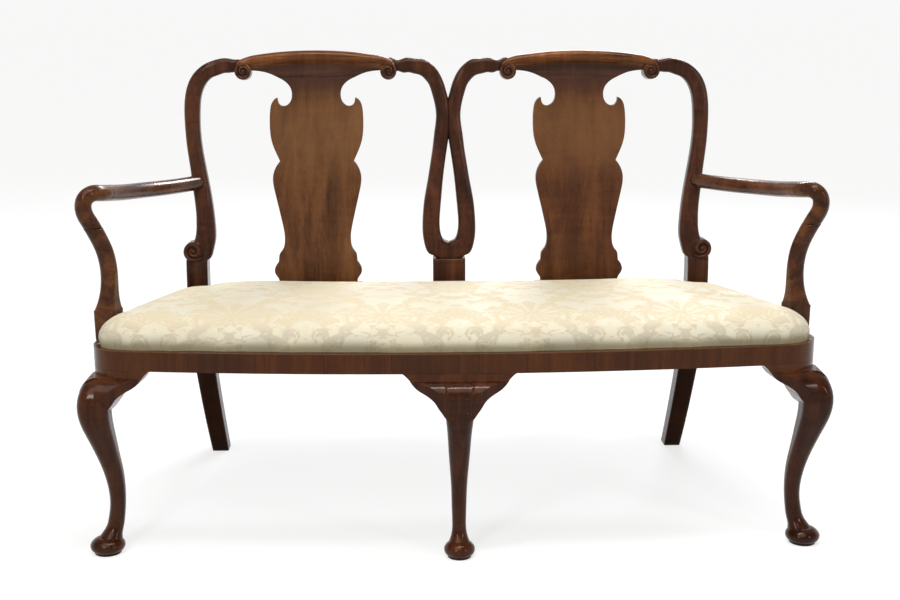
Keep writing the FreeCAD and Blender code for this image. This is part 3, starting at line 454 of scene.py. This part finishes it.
# Damask: one repeat in metres, mirrored about its middle, and its threads and tones
DAMASK_WIDE = 0.29
DAMASK_LONG = 0.40
DAMASK_TALL = DAMASK_LONG / DAMASK_WIDE
DAMASK_DRIFT = 0.012
DAMASK_THREADS = 1500.0
DAMASK_BUMP = 0.5
DAMASK_DEEP = 0.0003
DAMASK_SPECULAR = 0.32
DAMASK_SHEEN = 0.12
SHEEN_ROUGH = 0.4
CREAM_DEEP = (0.74, 0.665, 0.49)
CREAM_PALE = (0.80, 0.75, 0.60)
LEAF_ON_TOP = (0.72, 0.62, 0.43)
LEAF_SHADED_IN_FRONT = (0.635, 0.565, 0.43)
FRONT_TURN = (0.050, 0.034)
OUTLINE_GOLD = (0.70, 0.55, 0.30)
OUTLINE_SHARE = 0.34
SOILED_AND_SHADED = (0.36, 0.30, 0.13)
SOILED_AND_SHADED_BAND = (0.024, 0.003)
SOILED_AND_SHADED_SHARE = 0.62


def fan(tree, across, up, size, petals):
    # palmette: a fan of petals about a point of the repeat
    reach = math_node(tree, "MULTIPLY_ADD", across, across, math_node(tree, "MULTIPLY", up, up))
    reach = math_node(tree, "SQRT", reach)
    angle = math_node(tree, "ARCTAN2", across, up)
    petal = math_node(tree, "COSINE", math_node(tree, "MULTIPLY", angle, petals))
    round_it = math_node(tree, "MULTIPLY_ADD", math_node(tree, "COSINE", angle), 0.30, 0.70)
    edge = math_node(tree, "MULTIPLY", round_it, math_node(tree, "MULTIPLY_ADD", petal, 0.12, 0.88))
    inside = math_node(tree, "SUBTRACT", math_node(tree, "MULTIPLY", edge, size), reach)
    outer = remap(tree, reach, 0.12 * size, 0.3 * size)
    vein = math_node(tree, "MULTIPLY", remap(tree, petal, -0.2, -0.85), outer)
    return inside, vein


def damask():
    material, tree, shader = new_material("silk_damask")
    flow = put(tree, "ShaderNodeUVMap", uv_map="cover").outputs[0]
    axes = axes_of(tree, nudged(tree, flow, flow, 5.0, 1.0, DAMASK_DRIFT))
    cell = math_node(tree, "FRACT", math_node(tree, "DIVIDE", axes[0], DAMASK_WIDE))
    aside = math_node(tree, "ABSOLUTE", math_node(tree, "SUBTRACT", cell, 0.5))
    across = math_node(tree, "MULTIPLY", aside, 2.0)
    step = math_node(tree, "FRACT", math_node(tree, "DIVIDE", axes[1], DAMASK_LONG))
    up = math_node(tree, "MULTIPLY", math_node(tree, "SUBTRACT", step, 0.5), 2 * DAMASK_TALL)
    mirrored = put(tree, "ShaderNodeCombineXYZ", {0: across, 1: up}).outputs[0]
    # two palmettes, one in the middle of the repeat and one between repeats
    middle, middle_vein = fan(tree, across, math_node(tree, "ADD", up, 0.22), 0.66, 13.0)
    far_across = math_node(tree, "SUBTRACT", 1.0, across)
    away = math_node(tree, "SUBTRACT", math_node(tree, "ABSOLUTE", up), DAMASK_TALL)
    between, between_vein = fan(tree, far_across, math_node(tree, "ADD", away, 0.16), 0.52, 11.0)
    # ogee stems with lobed leaves, and smaller foliage between
    sway = math_node(tree, "COSINE", math_node(tree, "MULTIPLY", step, 2 * math.pi))
    stem_at = math_node(tree, "MULTIPLY_ADD", sway, 0.30, 0.52)
    lobes = math_node(tree, "ABSOLUTE", math_node(tree, "SINE", math_node(tree, "MULTIPLY", up, 9.0)))
    stem = math_node(tree, "SUBTRACT", math_node(tree, "MULTIPLY_ADD", lobes, 0.10, 0.025),
                     math_node(tree, "ABSOLUTE", math_node(tree, "SUBTRACT", across, stem_at)))
    leaf = noise(tree, mirrored, 3.3, 3.0, 0.62, 0.9)
    foliage = math_node(tree, "MULTIPLY", math_node(tree, "SUBTRACT", leaf, 0.545), 0.9)
    figure = math_node(tree, "MAXIMUM", math_node(tree, "MAXIMUM", middle, between),
                       math_node(tree, "MAXIMUM", stem, foliage))
    mask = remap(tree, figure, -0.008, 0.014, smooth=True)
    # veins of the palmettes and curls in the leaves, where the ground shows through
    middle_vein = math_node(tree, "MULTIPLY", middle_vein, remap(tree, middle, 0.0, 0.03))
    between_vein = math_node(tree, "MULTIPLY", between_vein, remap(tree, between, 0.0, 0.03))
    veins = math_node(tree, "MAXIMUM", middle_vein, between_vein)
    curl = noise(tree, mirrored, 13.0, 2.0, 0.5, 1.4)
    veins = math_node(tree, "MAXIMUM", veins, remap(tree, curl, 0.56, 0.62))
    whole = math_node(tree, "SUBTRACT", 1.0, math_node(tree, "MULTIPLY", veins, 0.8))
    mask = math_node(tree, "MULTIPLY", mask, whole)
    inner = remap(tree, math_node(tree, "ABSOLUTE", figure), 0.0, 0.035)
    border = math_node(tree, "SUBTRACT", 1.0, inner)
    cloud = noise(tree, flow, 6.0, 3.0, 0.6)
    ground = ramp(tree, cloud, [(0.3, CREAM_DEEP), (0.7, CREAM_PALE)])
    # the figure is greyer on the front, a painted shade for the grazing sheen there; the lowest edge, under
    # the swell, is darker olive, soiling and painted shade
    height = axes_of(tree, object_place(tree))[2]
    # painted shade: the figure's tone turns greyer where the cover faces forward
    facing = remap(tree, height, RAIL_TOP + FRONT_TURN[0], RAIL_TOP + FRONT_TURN[1], smooth=True)
    leaf_tone = blend(tree, facing, LEAF_ON_TOP, LEAF_SHADED_IN_FRONT)
    colour = blend(tree, mask, ground, leaf_tone)
    colour = blend(tree, math_node(tree, "MULTIPLY", border, OUTLINE_SHARE), colour, OUTLINE_GOLD)
    # the lowest band of the cover darkens to olive: soiling, and painted shade under the swell
    low = remap(tree, height, RAIL_TOP + SOILED_AND_SHADED_BAND[0], RAIL_TOP + SOILED_AND_SHADED_BAND[1], smooth=True)
    colour = blend(tree, math_node(tree, "MULTIPLY", low, SOILED_AND_SHADED_SHARE), colour, SOILED_AND_SHADED)
    tree.links.new(colour, shader.inputs["Base Color"])
    tree.links.new(remap(tree, mask, 0.0, 1.0, 0.44, 0.72), shader.inputs["Roughness"])
    shader.inputs["Specular IOR Level"].default_value = DAMASK_SPECULAR
    shader.inputs["Sheen Weight"].default_value = DAMASK_SHEEN
    shader.inputs["Sheen Roughness"].default_value = SHEEN_ROUGH
    weave = put(tree, "ShaderNodeGroup", {"Place": flow, "Pitch": DAMASK_THREADS}, node_tree=PLAIN_WEAVE)
    threads = math_node(tree, "MULTIPLY", weave.outputs["Height"], 0.5)
    relief = math_node(tree, "MULTIPLY_ADD", mask, 0.9, threads)
    bump = put(tree, "ShaderNodeBump", {
        "Strength": DAMASK_BUMP, "Distance": DAMASK_DEEP, "Height": relief})
    tree.links.new(bump.outputs[0], shader.inputs["Normal"])
    return material


DAMASK = damask()


# Pieces

def paint(material, *names):
    for name in names:
        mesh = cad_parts[name].data
        mesh.materials.clear()
        mesh.materials.append(material)


def both(*names):
    return [side + name for side in ("left_", "right_") for name in names]


paint(WOODS["post"], *both("rear_post"), "centre_back_post")
paint(WOODS["stile"], *both("inner_stile", "splat_shoe"))
paint(WOODS["leg"], *both("front_leg", "leg_front_bracket", "leg_side_bracket", "centre_bracket"),
      "centre_front_leg")
paint(WOODS["arm"], *both("arm", "arm_support"))
paint(WOODS["crest"], *both("crest_rail"))
paint(WOODS["left_splat"], "left_splat")
paint(WOODS["right_splat"], "right_splat")
paint(WOODS["facing"], "rail_facing")
paint(WOODS["rail"], "front_seat_rail", "rear_seat_rail", *both("side_rail"))
paint(WOODS["beech"], "seat_brace", "corner_blocks", "arm_dowels", "slip_front_rail", "slip_rear_rail",
      "slip_middle_bar", *both("slip_side_rail"))
paint(STEEL, "frame_screws", "webbing_tacks")


def piece(form, name, body, material, slot, *nodes, sharp=None):
    mesh = bpy.data.meshes.new(name)
    form.to_mesh(mesh)
    form.free()
    made = bpy.data.objects.new(name, mesh)
    bpy.context.scene.collection.objects.link(made)
    mesh.materials.append(material)
    mesh.shade_smooth()
    if sharp is not None:
        mesh.set_sharp_from_angle(angle=math.radians(sharp))
    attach(made, body)
    if nodes:
        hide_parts(*nodes)
    return made


def thicken(made, name, thickness, offset):
    wall = made.modifiers.new(name, "SOLIDIFY")
    wall.thickness = thickness
    wall.offset = offset


def use_modifiers(made):
    graph = bpy.context.evaluated_depsgraph_get()
    mesh = bpy.data.meshes.new_from_object(made.evaluated_get(graph))
    old = made.data
    made.modifiers.clear()
    made.data = mesh
    bpy.data.meshes.remove(old)


# Scrolls: a tapering bead wound inwards on the round end of a crest or post, over a ground disc painted
# dark as painted shade of the carved recess;
# each turn of a winding is an angle in degrees and a reach in metres

CREST_WINDING = [(122, 0.0290), (90, 0.0200), (45, 0.0170), (0, 0.0154), (-90, 0.0144), (-180, 0.0122),
                 (-270, 0.0096), (-360, 0.0072), (-450, 0.0052), (-500, 0.0044)]
POST_WINDING = [(-32, 0.0245), (-60, 0.0208), (-90, 0.0188), (-180, 0.0172), (-270, 0.0156), (-360, 0.0126),
                (-450, 0.0094), (-540, 0.0070), (-620, 0.0052)]
CREST_BEAD = 0.0034
CREST_GROUND = 0.0150
POST_BEAD = 0.0045
POST_GROUND = 0.0180
BEAD_SIDES = 10
BEAD_STEP = 11
BEAD_START = 0.35
BEAD_GROWS = 5
BEAD_TAPER = 0.42
BEAD_PROUD = 1.25
EYE_SIZE = (0.0035, 0.0042, 0.0035, 1)
GROUND_SIDES = 40
GROUND_CHAMFER = 0.0004
GROUND_THICK = 0.0016
SCROLL_SHARP = 50


def read_table(table, value):
    last = table[0]
    for this in table:
        if (value - this[0]) * (table[-1][0] - table[0][0]) <= 0:
            part = 0.0 if this[0] == last[0] else (value - last[0]) / (this[0] - last[0])
            return last[1] + (this[1] - last[1]) * part
        last = this
    return last[1]


def bead(form, stations):
    ring = bmesh.ops.create_circle(form, cap_ends=True, segments=BEAD_SIDES, radius=1.0, matrix=stations[0])
    edges = list({edge for vertex in ring["verts"] for edge in vertex.link_edges})
    for before, after in zip(stations, stations[1:]):
        grown = bmesh.ops.extrude_edge_only(form, edges=edges)
        verts = [made for made in grown["geom"] if isinstance(made, bmesh.types.BMVert)]
        edges = [made for made in grown["geom"] if isinstance(made, bmesh.types.BMEdge) and
                 all(vertex in verts for vertex in made.verts)]
        bmesh.ops.transform(form, matrix=after @ before.inverted(), verts=verts)
    bmesh.ops.edgenet_fill(form, edges=edges)


def volute(form, centre, tilt, winding, flip, thick, ground):
    lean = Matrix.Translation(centre) @ Matrix.Rotation(math.radians(-tilt), 4, "X")
    stations = []
    first, last = winding[0][0], winding[-1][0]
    steps = int(abs(last - first) / BEAD_STEP)
    for i in range(steps + 1):
        part = i / steps
        degrees = first + (last - first) * part
        angle = math.radians(degrees)
        reach = read_table(winding, degrees)
        size = thick * min(1.0, BEAD_START + BEAD_GROWS * part) * (1 - BEAD_TAPER * part)
        spot = Matrix.Translation((flip * reach * math.cos(angle), 0, reach * math.sin(angle)))
        aim = Matrix.Rotation(-flip * angle, 4, "Y")
        stations.append(lean @ spot @ aim @ Matrix.Diagonal((size, size * BEAD_PROUD, size, 1)))
    bead(form, stations)
    eye = lean @ Matrix.Diagonal(EYE_SIZE)
    bmesh.ops.create_uvsphere(form, u_segments=16, v_segments=10, radius=1.0, matrix=eye)
    before = set(form.faces)
    disc = lean @ Matrix.Rotation(math.radians(90), 4, "X")
    bmesh.ops.create_cone(form, cap_ends=True, segments=GROUND_SIDES, radius1=ground,
                          radius2=ground - GROUND_CHAMFER, depth=GROUND_THICK, matrix=disc)
    for face in set(form.faces) - before:
        face.material_index = 1


def crest_scrolls(side, name):
    form = bmesh.new()
    for end in (-1, 1):
        place = Vector((side * CHAIR_CENTRE + end * CREST_END, *CREST_SCROLL))
        volute(form, place, CREST_TILT, CREST_WINDING, end, CREST_BEAD, CREST_GROUND)
    made = piece(form, name, "frame", WOODS["scroll"], "crest_walnut", sharp=SCROLL_SHARP)
    made.data.materials.append(WOODS["scroll_ground_shade"])


def post_scroll(side, name):
    form = bmesh.new()
    x, y, z = POST_SCROLL
    volute(form, Vector((side * x, y, z)), 0, POST_WINDING, -side, POST_BEAD, POST_GROUND)
    made = piece(form, name, "frame", WOODS["scroll"], "walnut", sharp=SCROLL_SHARP)
    made.data.materials.append(WOODS["scroll_ground_shade"])


crest_scrolls(-1, "left_crest_scrolls")
crest_scrolls(1, "right_crest_scrolls")
post_scroll(-1, "left_post_scroll")
post_scroll(1, "right_post_scroll")


# Drop-in seat: how far the stuffing spreads over the lip and rises, by height in metres

SPREAD = [(0.405, 0.0), (0.409, 0.0045), (0.413, 0.0085), (0.418, 0.0104), (0.432, 0.0106), (0.438, 0.0098),
          (0.443, 0.007), (0.448, 0.0035), (0.453, 0.001), (0.458, 0.0)]
RISE = [(0.409, 0.0), (0.418, 0.002), (0.425, 0.0058), (0.431, 0.009), (0.438, 0.0108), (0.443, 0.0105),
        (0.448, 0.0082), (0.453, 0.0052), (0.456, 0.003), (0.458, 0.002)]

# Where it does so less or more: bands run from none to all
SIDE_BAND = (0.50, 0.60)
SUPPORT_BAND = (0.028, 0.075)
CORNER_ACROSS = (0.48, 0.62)
CORNER_AHEAD = (-0.15, -0.23)
CORNER_FULL = 0.9
REAR_BAND = (0.10, 0.18)
CROWN_BAND = (0.41, 0.44)
SINK_BAND = (-0.10, 0.19)
REAR_SINK = 0.0090
HEEL_AT = (0.545, 0.19)
HEEL_SIZE = (0.06, 0.07)
HEEL_DEEP = 0.008
SHOULDER_AT = -0.15
SHOULDER_SIZE = 0.09
SHOULDER_HIGH = 0.005
WAVE_HIGH = 0.0011

# Cover: the swelling, its cap, the hem, and where the weave turns down over the front and the sides
CUSHION_GRAIN = 0.010
CUSHION_CAP = 0.005
CAP_RISE = 0.03
CAP_SUPPORT_BAND = (0.03, 0.08)
CAP_AT_SUPPORT = 0.8
TACKED_BAND = 0.004
CLOTH_STEPS = 14
CLOTH_STIFF = 12.0
CLOTH_BEND = 0.6
CLOTH_PRESSURE = 4.0
UNDERSIDE_BAND = 0.0015
COVER_THICK = 0.0018
COVER_TURN = 0.452
COVER_FRONT = -0.2
COVER_FRONT_BLEND = 0.08
COVER_SIDE = 0.5
COVER_SIDE_BLEND = 0.1


def clamped(value):
    return min(1.0, max(0.0, value))


def eased(low, high, value):
    part = clamped((value - low) / (high - low))
    return part * part * (3 - 2 * part)


def at_support(point, band):
    # 1 beside an arm support and 0 away from it
    return eased(*SIDE_BAND, abs(point.x)) * (1 - eased(*band, abs(point.y - SUPPORT_Y)))


def stuffed(point, out):
    x, y = abs(point.x), point.y
    corner = 1 + CORNER_FULL * eased(*CORNER_ACROSS, x) * eased(*CORNER_AHEAD, y)
    spread = read_table(SPREAD, point.z) * corner * (1 - at_support(point, SUPPORT_BAND))
    moved = point + out * (spread * (1 - eased(*REAR_BAND, y)))
    crown = eased(*CROWN_BAND, point.z)
    rear_sink = REAR_SINK * eased(*SINK_BAND, y)
    heel = math.exp(-(((x - HEEL_AT[0]) / HEEL_SIZE[0]) ** 2 + ((y - HEEL_AT[1]) / HEEL_SIZE[1]) ** 2))
    shoulder = SHOULDER_HIGH * eased(*SIDE_BAND, x) * math.exp(-((y - SHOULDER_AT) / SHOULDER_SIZE) ** 2)
    wave = WAVE_HIGH * math.sin(11.0 * point.x + 1.3) * math.sin(16.0 * y + 0.4) * eased(0.0, 0.16, y + 0.1)
    moved.z += read_table(RISE, point.z) + crown * (shoulder + wave - rear_sink - HEEL_DEEP * heel)
    return moved


def swell(made, start):
    # cloth tacked along its lower edge and blown up a little, with a cap on how far a point may move
    pinned = made.vertex_groups.new(name="tacked")
    pinned.add([i for i, point in enumerate(start) if point.z < SEAT_FLOOR + TACKED_BAND], 1.0, "REPLACE")
    cloth = made.modifiers.new("stuffed", "CLOTH")
    cloth.settings.quality = 3
    cloth.settings.mass = 0.3
    cloth.settings.tension_stiffness = CLOTH_STIFF
    cloth.settings.compression_stiffness = CLOTH_STIFF
    cloth.settings.bending_stiffness = CLOTH_BEND
    cloth.settings.use_pressure = True
    cloth.settings.uniform_pressure_force = CLOTH_PRESSURE
    cloth.settings.effector_weights.gravity = 0.0
    cloth.settings.vertex_group_mass = "tacked"
    for step in range(1, CLOTH_STEPS + 1):
        bpy.context.scene.frame_set(step)
    use_modifiers(made)
    bpy.context.scene.frame_set(1)
    for vertex, rest in zip(made.data.vertices, start):
        moved = vertex.co - rest
        room = CUSHION_CAP * eased(SEAT_FLOOR, SEAT_FLOOR + CAP_RISE, rest.z)
        room *= 1 - CAP_AT_SUPPORT * at_support(rest, CAP_SUPPORT_BAND)
        if moved.length > room:
            moved = moved * (room / moved.length)
        vertex.co = rest + moved


def hem(made):
    # the underside is opened, the skin smoothed, and its rim drawn down inside the rails
    form = bmesh.new()
    form.from_mesh(made.data)
    low = [face for face in form.faces
           if face.calc_center_median().z < SEAT_FLOOR + UNDERSIDE_BAND and face.normal.z < -0.5]
    bmesh.ops.delete(form, geom=low, context="FACES")
    for turn in range(3):
        bmesh.ops.smooth_vert(form, verts=[vertex for vertex in form.verts if not vertex.is_boundary],
                              factor=0.5, use_axis_x=True, use_axis_y=True, use_axis_z=True)
    rim = [edge for edge in form.edges if edge.is_boundary]
    for turn in range(4):
        bmesh.ops.smooth_vert(form, verts=[vertex for vertex in form.verts if vertex.is_boundary],
                              factor=0.5, use_axis_x=True, use_axis_y=True, use_axis_z=False)
    grown = bmesh.ops.extrude_edge_only(form, edges=rim)
    for vertex in grown["geom"]:
        if isinstance(vertex, bmesh.types.BMVert):
            vertex.co.z = SLIP_LOW
    bmesh.ops.recalc_face_normals(form, faces=form.faces)
    flow = form.loops.layers.uv.new("cover")
    for face in form.faces:
        for loop in face.loops:
            spot = loop.vert.co
            drop = max(0.0, COVER_TURN - spot.z)
            ahead = clamped((COVER_FRONT - spot.y) / COVER_FRONT_BLEND)
            aside = clamped((abs(spot.x) - COVER_SIDE) / COVER_SIDE_BLEND) * (1 - ahead)
            loop[flow].uv = (spot.x + math.copysign(drop * aside, spot.x), spot.y - drop * ahead)
    form.to_mesh(made.data)
    form.free()


def cushion():
    form = bmesh.new()
    form.from_mesh(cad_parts["seat_stuffing"].data)
    bmesh.ops.remove_doubles(form, verts=form.verts, dist=1e-5)
    made = piece(form, "drop_in_cushion", "drop_in_seat", DAMASK, "damask", "seat_stuffing", "seat_cover")
    remesh = made.modifiers.new("even", "REMESH")
    remesh.mode = "VOXEL"
    remesh.voxel_size = CUSHION_GRAIN
    use_modifiers(made)
    start = []
    for vertex in made.data.vertices:
        out = Vector((vertex.normal.x, vertex.normal.y, 0))
        out = out.normalized() if out.length > 0.05 else out
        start.append(stuffed(vertex.co.copy(), out))
    for vertex, point in zip(made.data.vertices, start):
        vertex.co = point
    swell(made, start)
    hem(made)
    made.data.shade_smooth()
    made.data.materials.clear()
    made.data.materials.append(DAMASK)
    thicken(made, "cloth_thickness", COVER_THICK, -1.0)
    round_off = made.modifiers.new("soft", "SUBSURF")
    round_off.levels = 1
    round_off.render_levels = 1


# Under the stuffing: woven webs tacked to the drop-in frame, and a stretched sheet over them

WEB_COUNT = 9
WEB_WIDE = 0.050
WEB_STEP = 0.128
WEB_ROWS = [-0.1915, -0.1035, -0.0155, 0.0725]
WEB_MIDDLE = 0.40665
WEB_WAVE = 0.0008
WEB_LOOSE = (0.02, 0.045)
WEB_EDGE = 0.027
WEB_REAR_EDGE = 0.010
WEB_SHORT_END = 0.17
WEB_FINE = 0.011
WEB_THICK = 0.0013
SHEET_EDGE = 0.034
SHEET_RISE = 0.0022
SHEET_RIPPLE = 0.00012
SHEET_PITCH = 0.088
SHEET_THICK = 0.0009


def front_of(x, inset):
    return FRONT_FACE + BOW_RADIUS - math.sqrt((BOW_RADIUS - inset) ** 2 - x * x)


def side_of(y, inset):
    return (SIDE_REACH - inset - math.sin(SIDE_SPLAY) * (y - FRONT_FACE)) / math.cos(SIDE_SPLAY)


def web(form, start, end, level):
    # a strip from start to end in plan, as high as level says along its run
    run = end - start
    steps = max(8, int(run.length / WEB_FINE))
    made = bmesh.ops.create_grid(form, x_segments=steps, y_segments=4, size=0.5)["verts"]
    aim = Matrix.Rotation(math.atan2(run.y, run.x), 4, "Z")
    middle = Matrix.Translation((*((start + end) / 2), 0))
    place = middle @ aim @ Matrix.Diagonal((run.length, WEB_WIDE, 1, 1))
    bmesh.ops.transform(form, matrix=place, verts=made)
    for vertex in made:
        vertex.co.z = level(vertex.co)


def webbing():
    form = bmesh.new()
    rear = SEAT_REAR - WEB_REAR_EDGE
    row_step = WEB_ROWS[1] - WEB_ROWS[0]
    for i in range(WEB_COUNT):
        x = (i - WEB_COUNT // 2) * WEB_STEP
        turn = 1 if i % 2 else -1

        def level(point, turn=turn):
            wave = turn * math.cos(math.pi * (point.y - WEB_ROWS[0]) / row_step)
            loose = eased(*WEB_LOOSE, max(WEB_ROWS[0] - point.y, point.y - WEB_ROWS[-1]))
            return WEB_MIDDLE + WEB_WAVE * (wave * (1 - loose) - loose)

        reach = rear if abs(x) + WEB_WIDE / 2 < side_of(rear, WEB_EDGE) else WEB_SHORT_END
        web(form, Vector((x, front_of(abs(x) + WEB_WIDE / 2, WEB_EDGE))), Vector((x, reach)), level)
    for j, y in enumerate(WEB_ROWS):
        turn = 1 if j % 2 else -1

        def level(point, turn=turn):
            wave = turn * math.cos(math.pi * (point.x / WEB_STEP + WEB_COUNT // 2))
            return WEB_MIDDLE - WEB_WAVE * wave

        reach = side_of(y + WEB_WIDE / 2, WEB_EDGE)
        web(form, Vector((-reach, y)), Vector((reach, y)), level)
    made = piece(form, "seat_webbing_strips", "drop_in_seat", WEBBING, "webbing", "seat_webbing")
    thicken(made, "jute_thickness", WEB_THICK, 0.0)


def hessian():
    form = bmesh.new()
    verts = bmesh.ops.create_grid(form, x_segments=90, y_segments=34, size=1.0)["verts"]
    rear = SEAT_REAR - SHEET_EDGE
    for vertex in verts:
        down = (1 - vertex.co.y) / 2
        y = rear + (front_of(0, SHEET_EDGE) - rear) * down
        x = vertex.co.x * side_of(y, SHEET_EDGE)
        bow = front_of(x, SHEET_EDGE) - front_of(0, SHEET_EDGE)
        ripple = math.sin(x * 2 * math.pi / WEB_STEP) * math.sin(y * 2 * math.pi / SHEET_PITCH)
        vertex.co = (x, y + bow * down, WEB_MIDDLE + SHEET_RISE + SHEET_RIPPLE * ripple)
    area = sum(face.calc_area() for face in form.faces)
    made = piece(form, "hessian_sheet", "drop_in_seat", HESSIAN, "hessian", "seat_hessian")
    thicken(made, "hessian_thickness", SHEET_THICK, 0.0)


cushion()
webbing()
hessian()


# Studio: the floor and a white cove round it, a dimmer ceiling, a soft sun and four panels

FLOOR_REACH = 600.0
FLOOR_RISE = 25.0
FLOOR_WHITE = (0.93, 0.93, 0.925, 1)
FLOOR_GLOW = 0.76
FLOOR_SHADE = (0.36, 0.36, 0.355, 1)
FLOOR_ROUGH = 0.9
SKY = (0.98, 0.99, 1.0, 1)
SKY_LIGHT = 0.34
COVE_TOP = 0.45
COVE_BLEND = 0.15
COVE_WHITE = 0.95
SUN_LIGHT = 1.0
SUN_SOFT = 40
SUN_TURN = (math.radians(20), math.radians(-10), 0)
DAYLIGHT = (0.94, 0.97, 1.0)
# name, size, power, place, aim and colour
PANELS = [
    ("front_window", (0.35, 0.7), 20.0, (-1.5, -2.6, 2.5), (0, 0, 0.6), DAYLIGHT),
    ("right_window", (0.2, 1.0), 12.0, (2.3, -2.0, 2.0), (0, 0, 0.6), DAYLIGHT),
    ("ceiling_panel", (1.6, 0.12), 24.0, (0.2, -0.6, 2.7), (0, 0, 0.5), (1.0, 0.95, 0.88)),
    ("rear_panel", (2.0, 0.35), 90.0, (0.9, 3.0, 2.8), (0.1, 0.1, 0.8), (0.92, 0.95, 1.0)),
]


def hang(name, data):
    holder = bpy.data.objects.new(name, data)
    bpy.context.scene.collection.objects.link(holder)
    return holder


def panel(name, size, power, place, aim, colour):
    light = bpy.data.lights.new(name, "AREA")
    light.shape = "RECTANGLE"
    light.size, light.size_y = size
    light.energy = power
    light.color = colour
    holder = hang(name, light)
    holder.location = place
    holder.rotation_euler = (Vector(aim) - Vector(place)).to_track_quat("-Z", "Y").to_euler()


def seen(tree):
    # rays that show the background itself: straight from the camera, by reflection or through glass
    path = put(tree, "ShaderNodeLightPath")
    plain = math_node(tree, "MAXIMUM", path.outputs["Is Camera Ray"], path.outputs["Is Glossy Ray"])
    return math_node(tree, "MAXIMUM", plain, path.outputs["Is Transmission Ray"])


def lay_floor():
    form = bmesh.new()
    bmesh.ops.create_grid(form, x_segments=3, y_segments=3, size=FLOOR_REACH)
    # the far edges rise above the horizon
    for vertex in form.verts:
        if vertex.is_boundary:
            vertex.co.z = FLOOR_RISE
    mesh = bpy.data.meshes.new("floor")
    form.to_mesh(mesh)
    form.free()
    floor = hang("floor", mesh)
    material, tree, shader = new_material("pale_floor")
    shader.inputs["Base Color"].default_value = FLOOR_SHADE
    shader.inputs["Roughness"].default_value = FLOOR_ROUGH
    shader.inputs["Specular IOR Level"].default_value = 0.0
    shader.inputs["Emission Color"].default_value = FLOOR_WHITE
    glow = math_node(tree, "MULTIPLY", seen(tree), FLOOR_GLOW)
    tree.links.new(glow, shader.inputs["Emission Strength"])
    mesh.materials.append(material)


def surround():
    world = bpy.data.worlds.new("studio_world")
    bpy.context.scene.world = world
    world.use_nodes = True
    tree = world.node_tree
    sky = tree.nodes["Background"]
    sky.inputs["Color"].default_value = SKY
    rise = axes_of(tree, put(tree, "ShaderNodeTexCoord").outputs["Generated"])[2]
    below = remap(tree, rise, COVE_TOP, COVE_TOP - COVE_BLEND, smooth=True)
    cove = math_node(tree, "MULTIPLY", seen(tree), below)
    tree.links.new(remap(tree, cove, 0.0, 1.0, SKY_LIGHT, COVE_WHITE), sky.inputs["Strength"])


def light():
    sun = bpy.data.lights.new("soft_key", "SUN")
    sun.energy = SUN_LIGHT
    sun.angle = math.radians(SUN_SOFT)
    hang("soft_key", sun).rotation_euler = SUN_TURN
    for row in PANELS:
        panel(*row)


def camera():
    data = bpy.data.cameras.new("camera")
    data.lens = CAMERA_LENS
    data.sensor_width = CAMERA_SENSOR
    holder = hang("camera", data)
    holder.location = CAMERA_AT
    holder.rotation_euler = (math.radians(90 - CAMERA_DOWN), 0, -math.radians(CAMERA_RIGHT))
    bpy.context.scene.camera = holder


lay_floor()
surround()
light()
camera()
bpy.context.scene.view_settings.view_transform = "Standard"
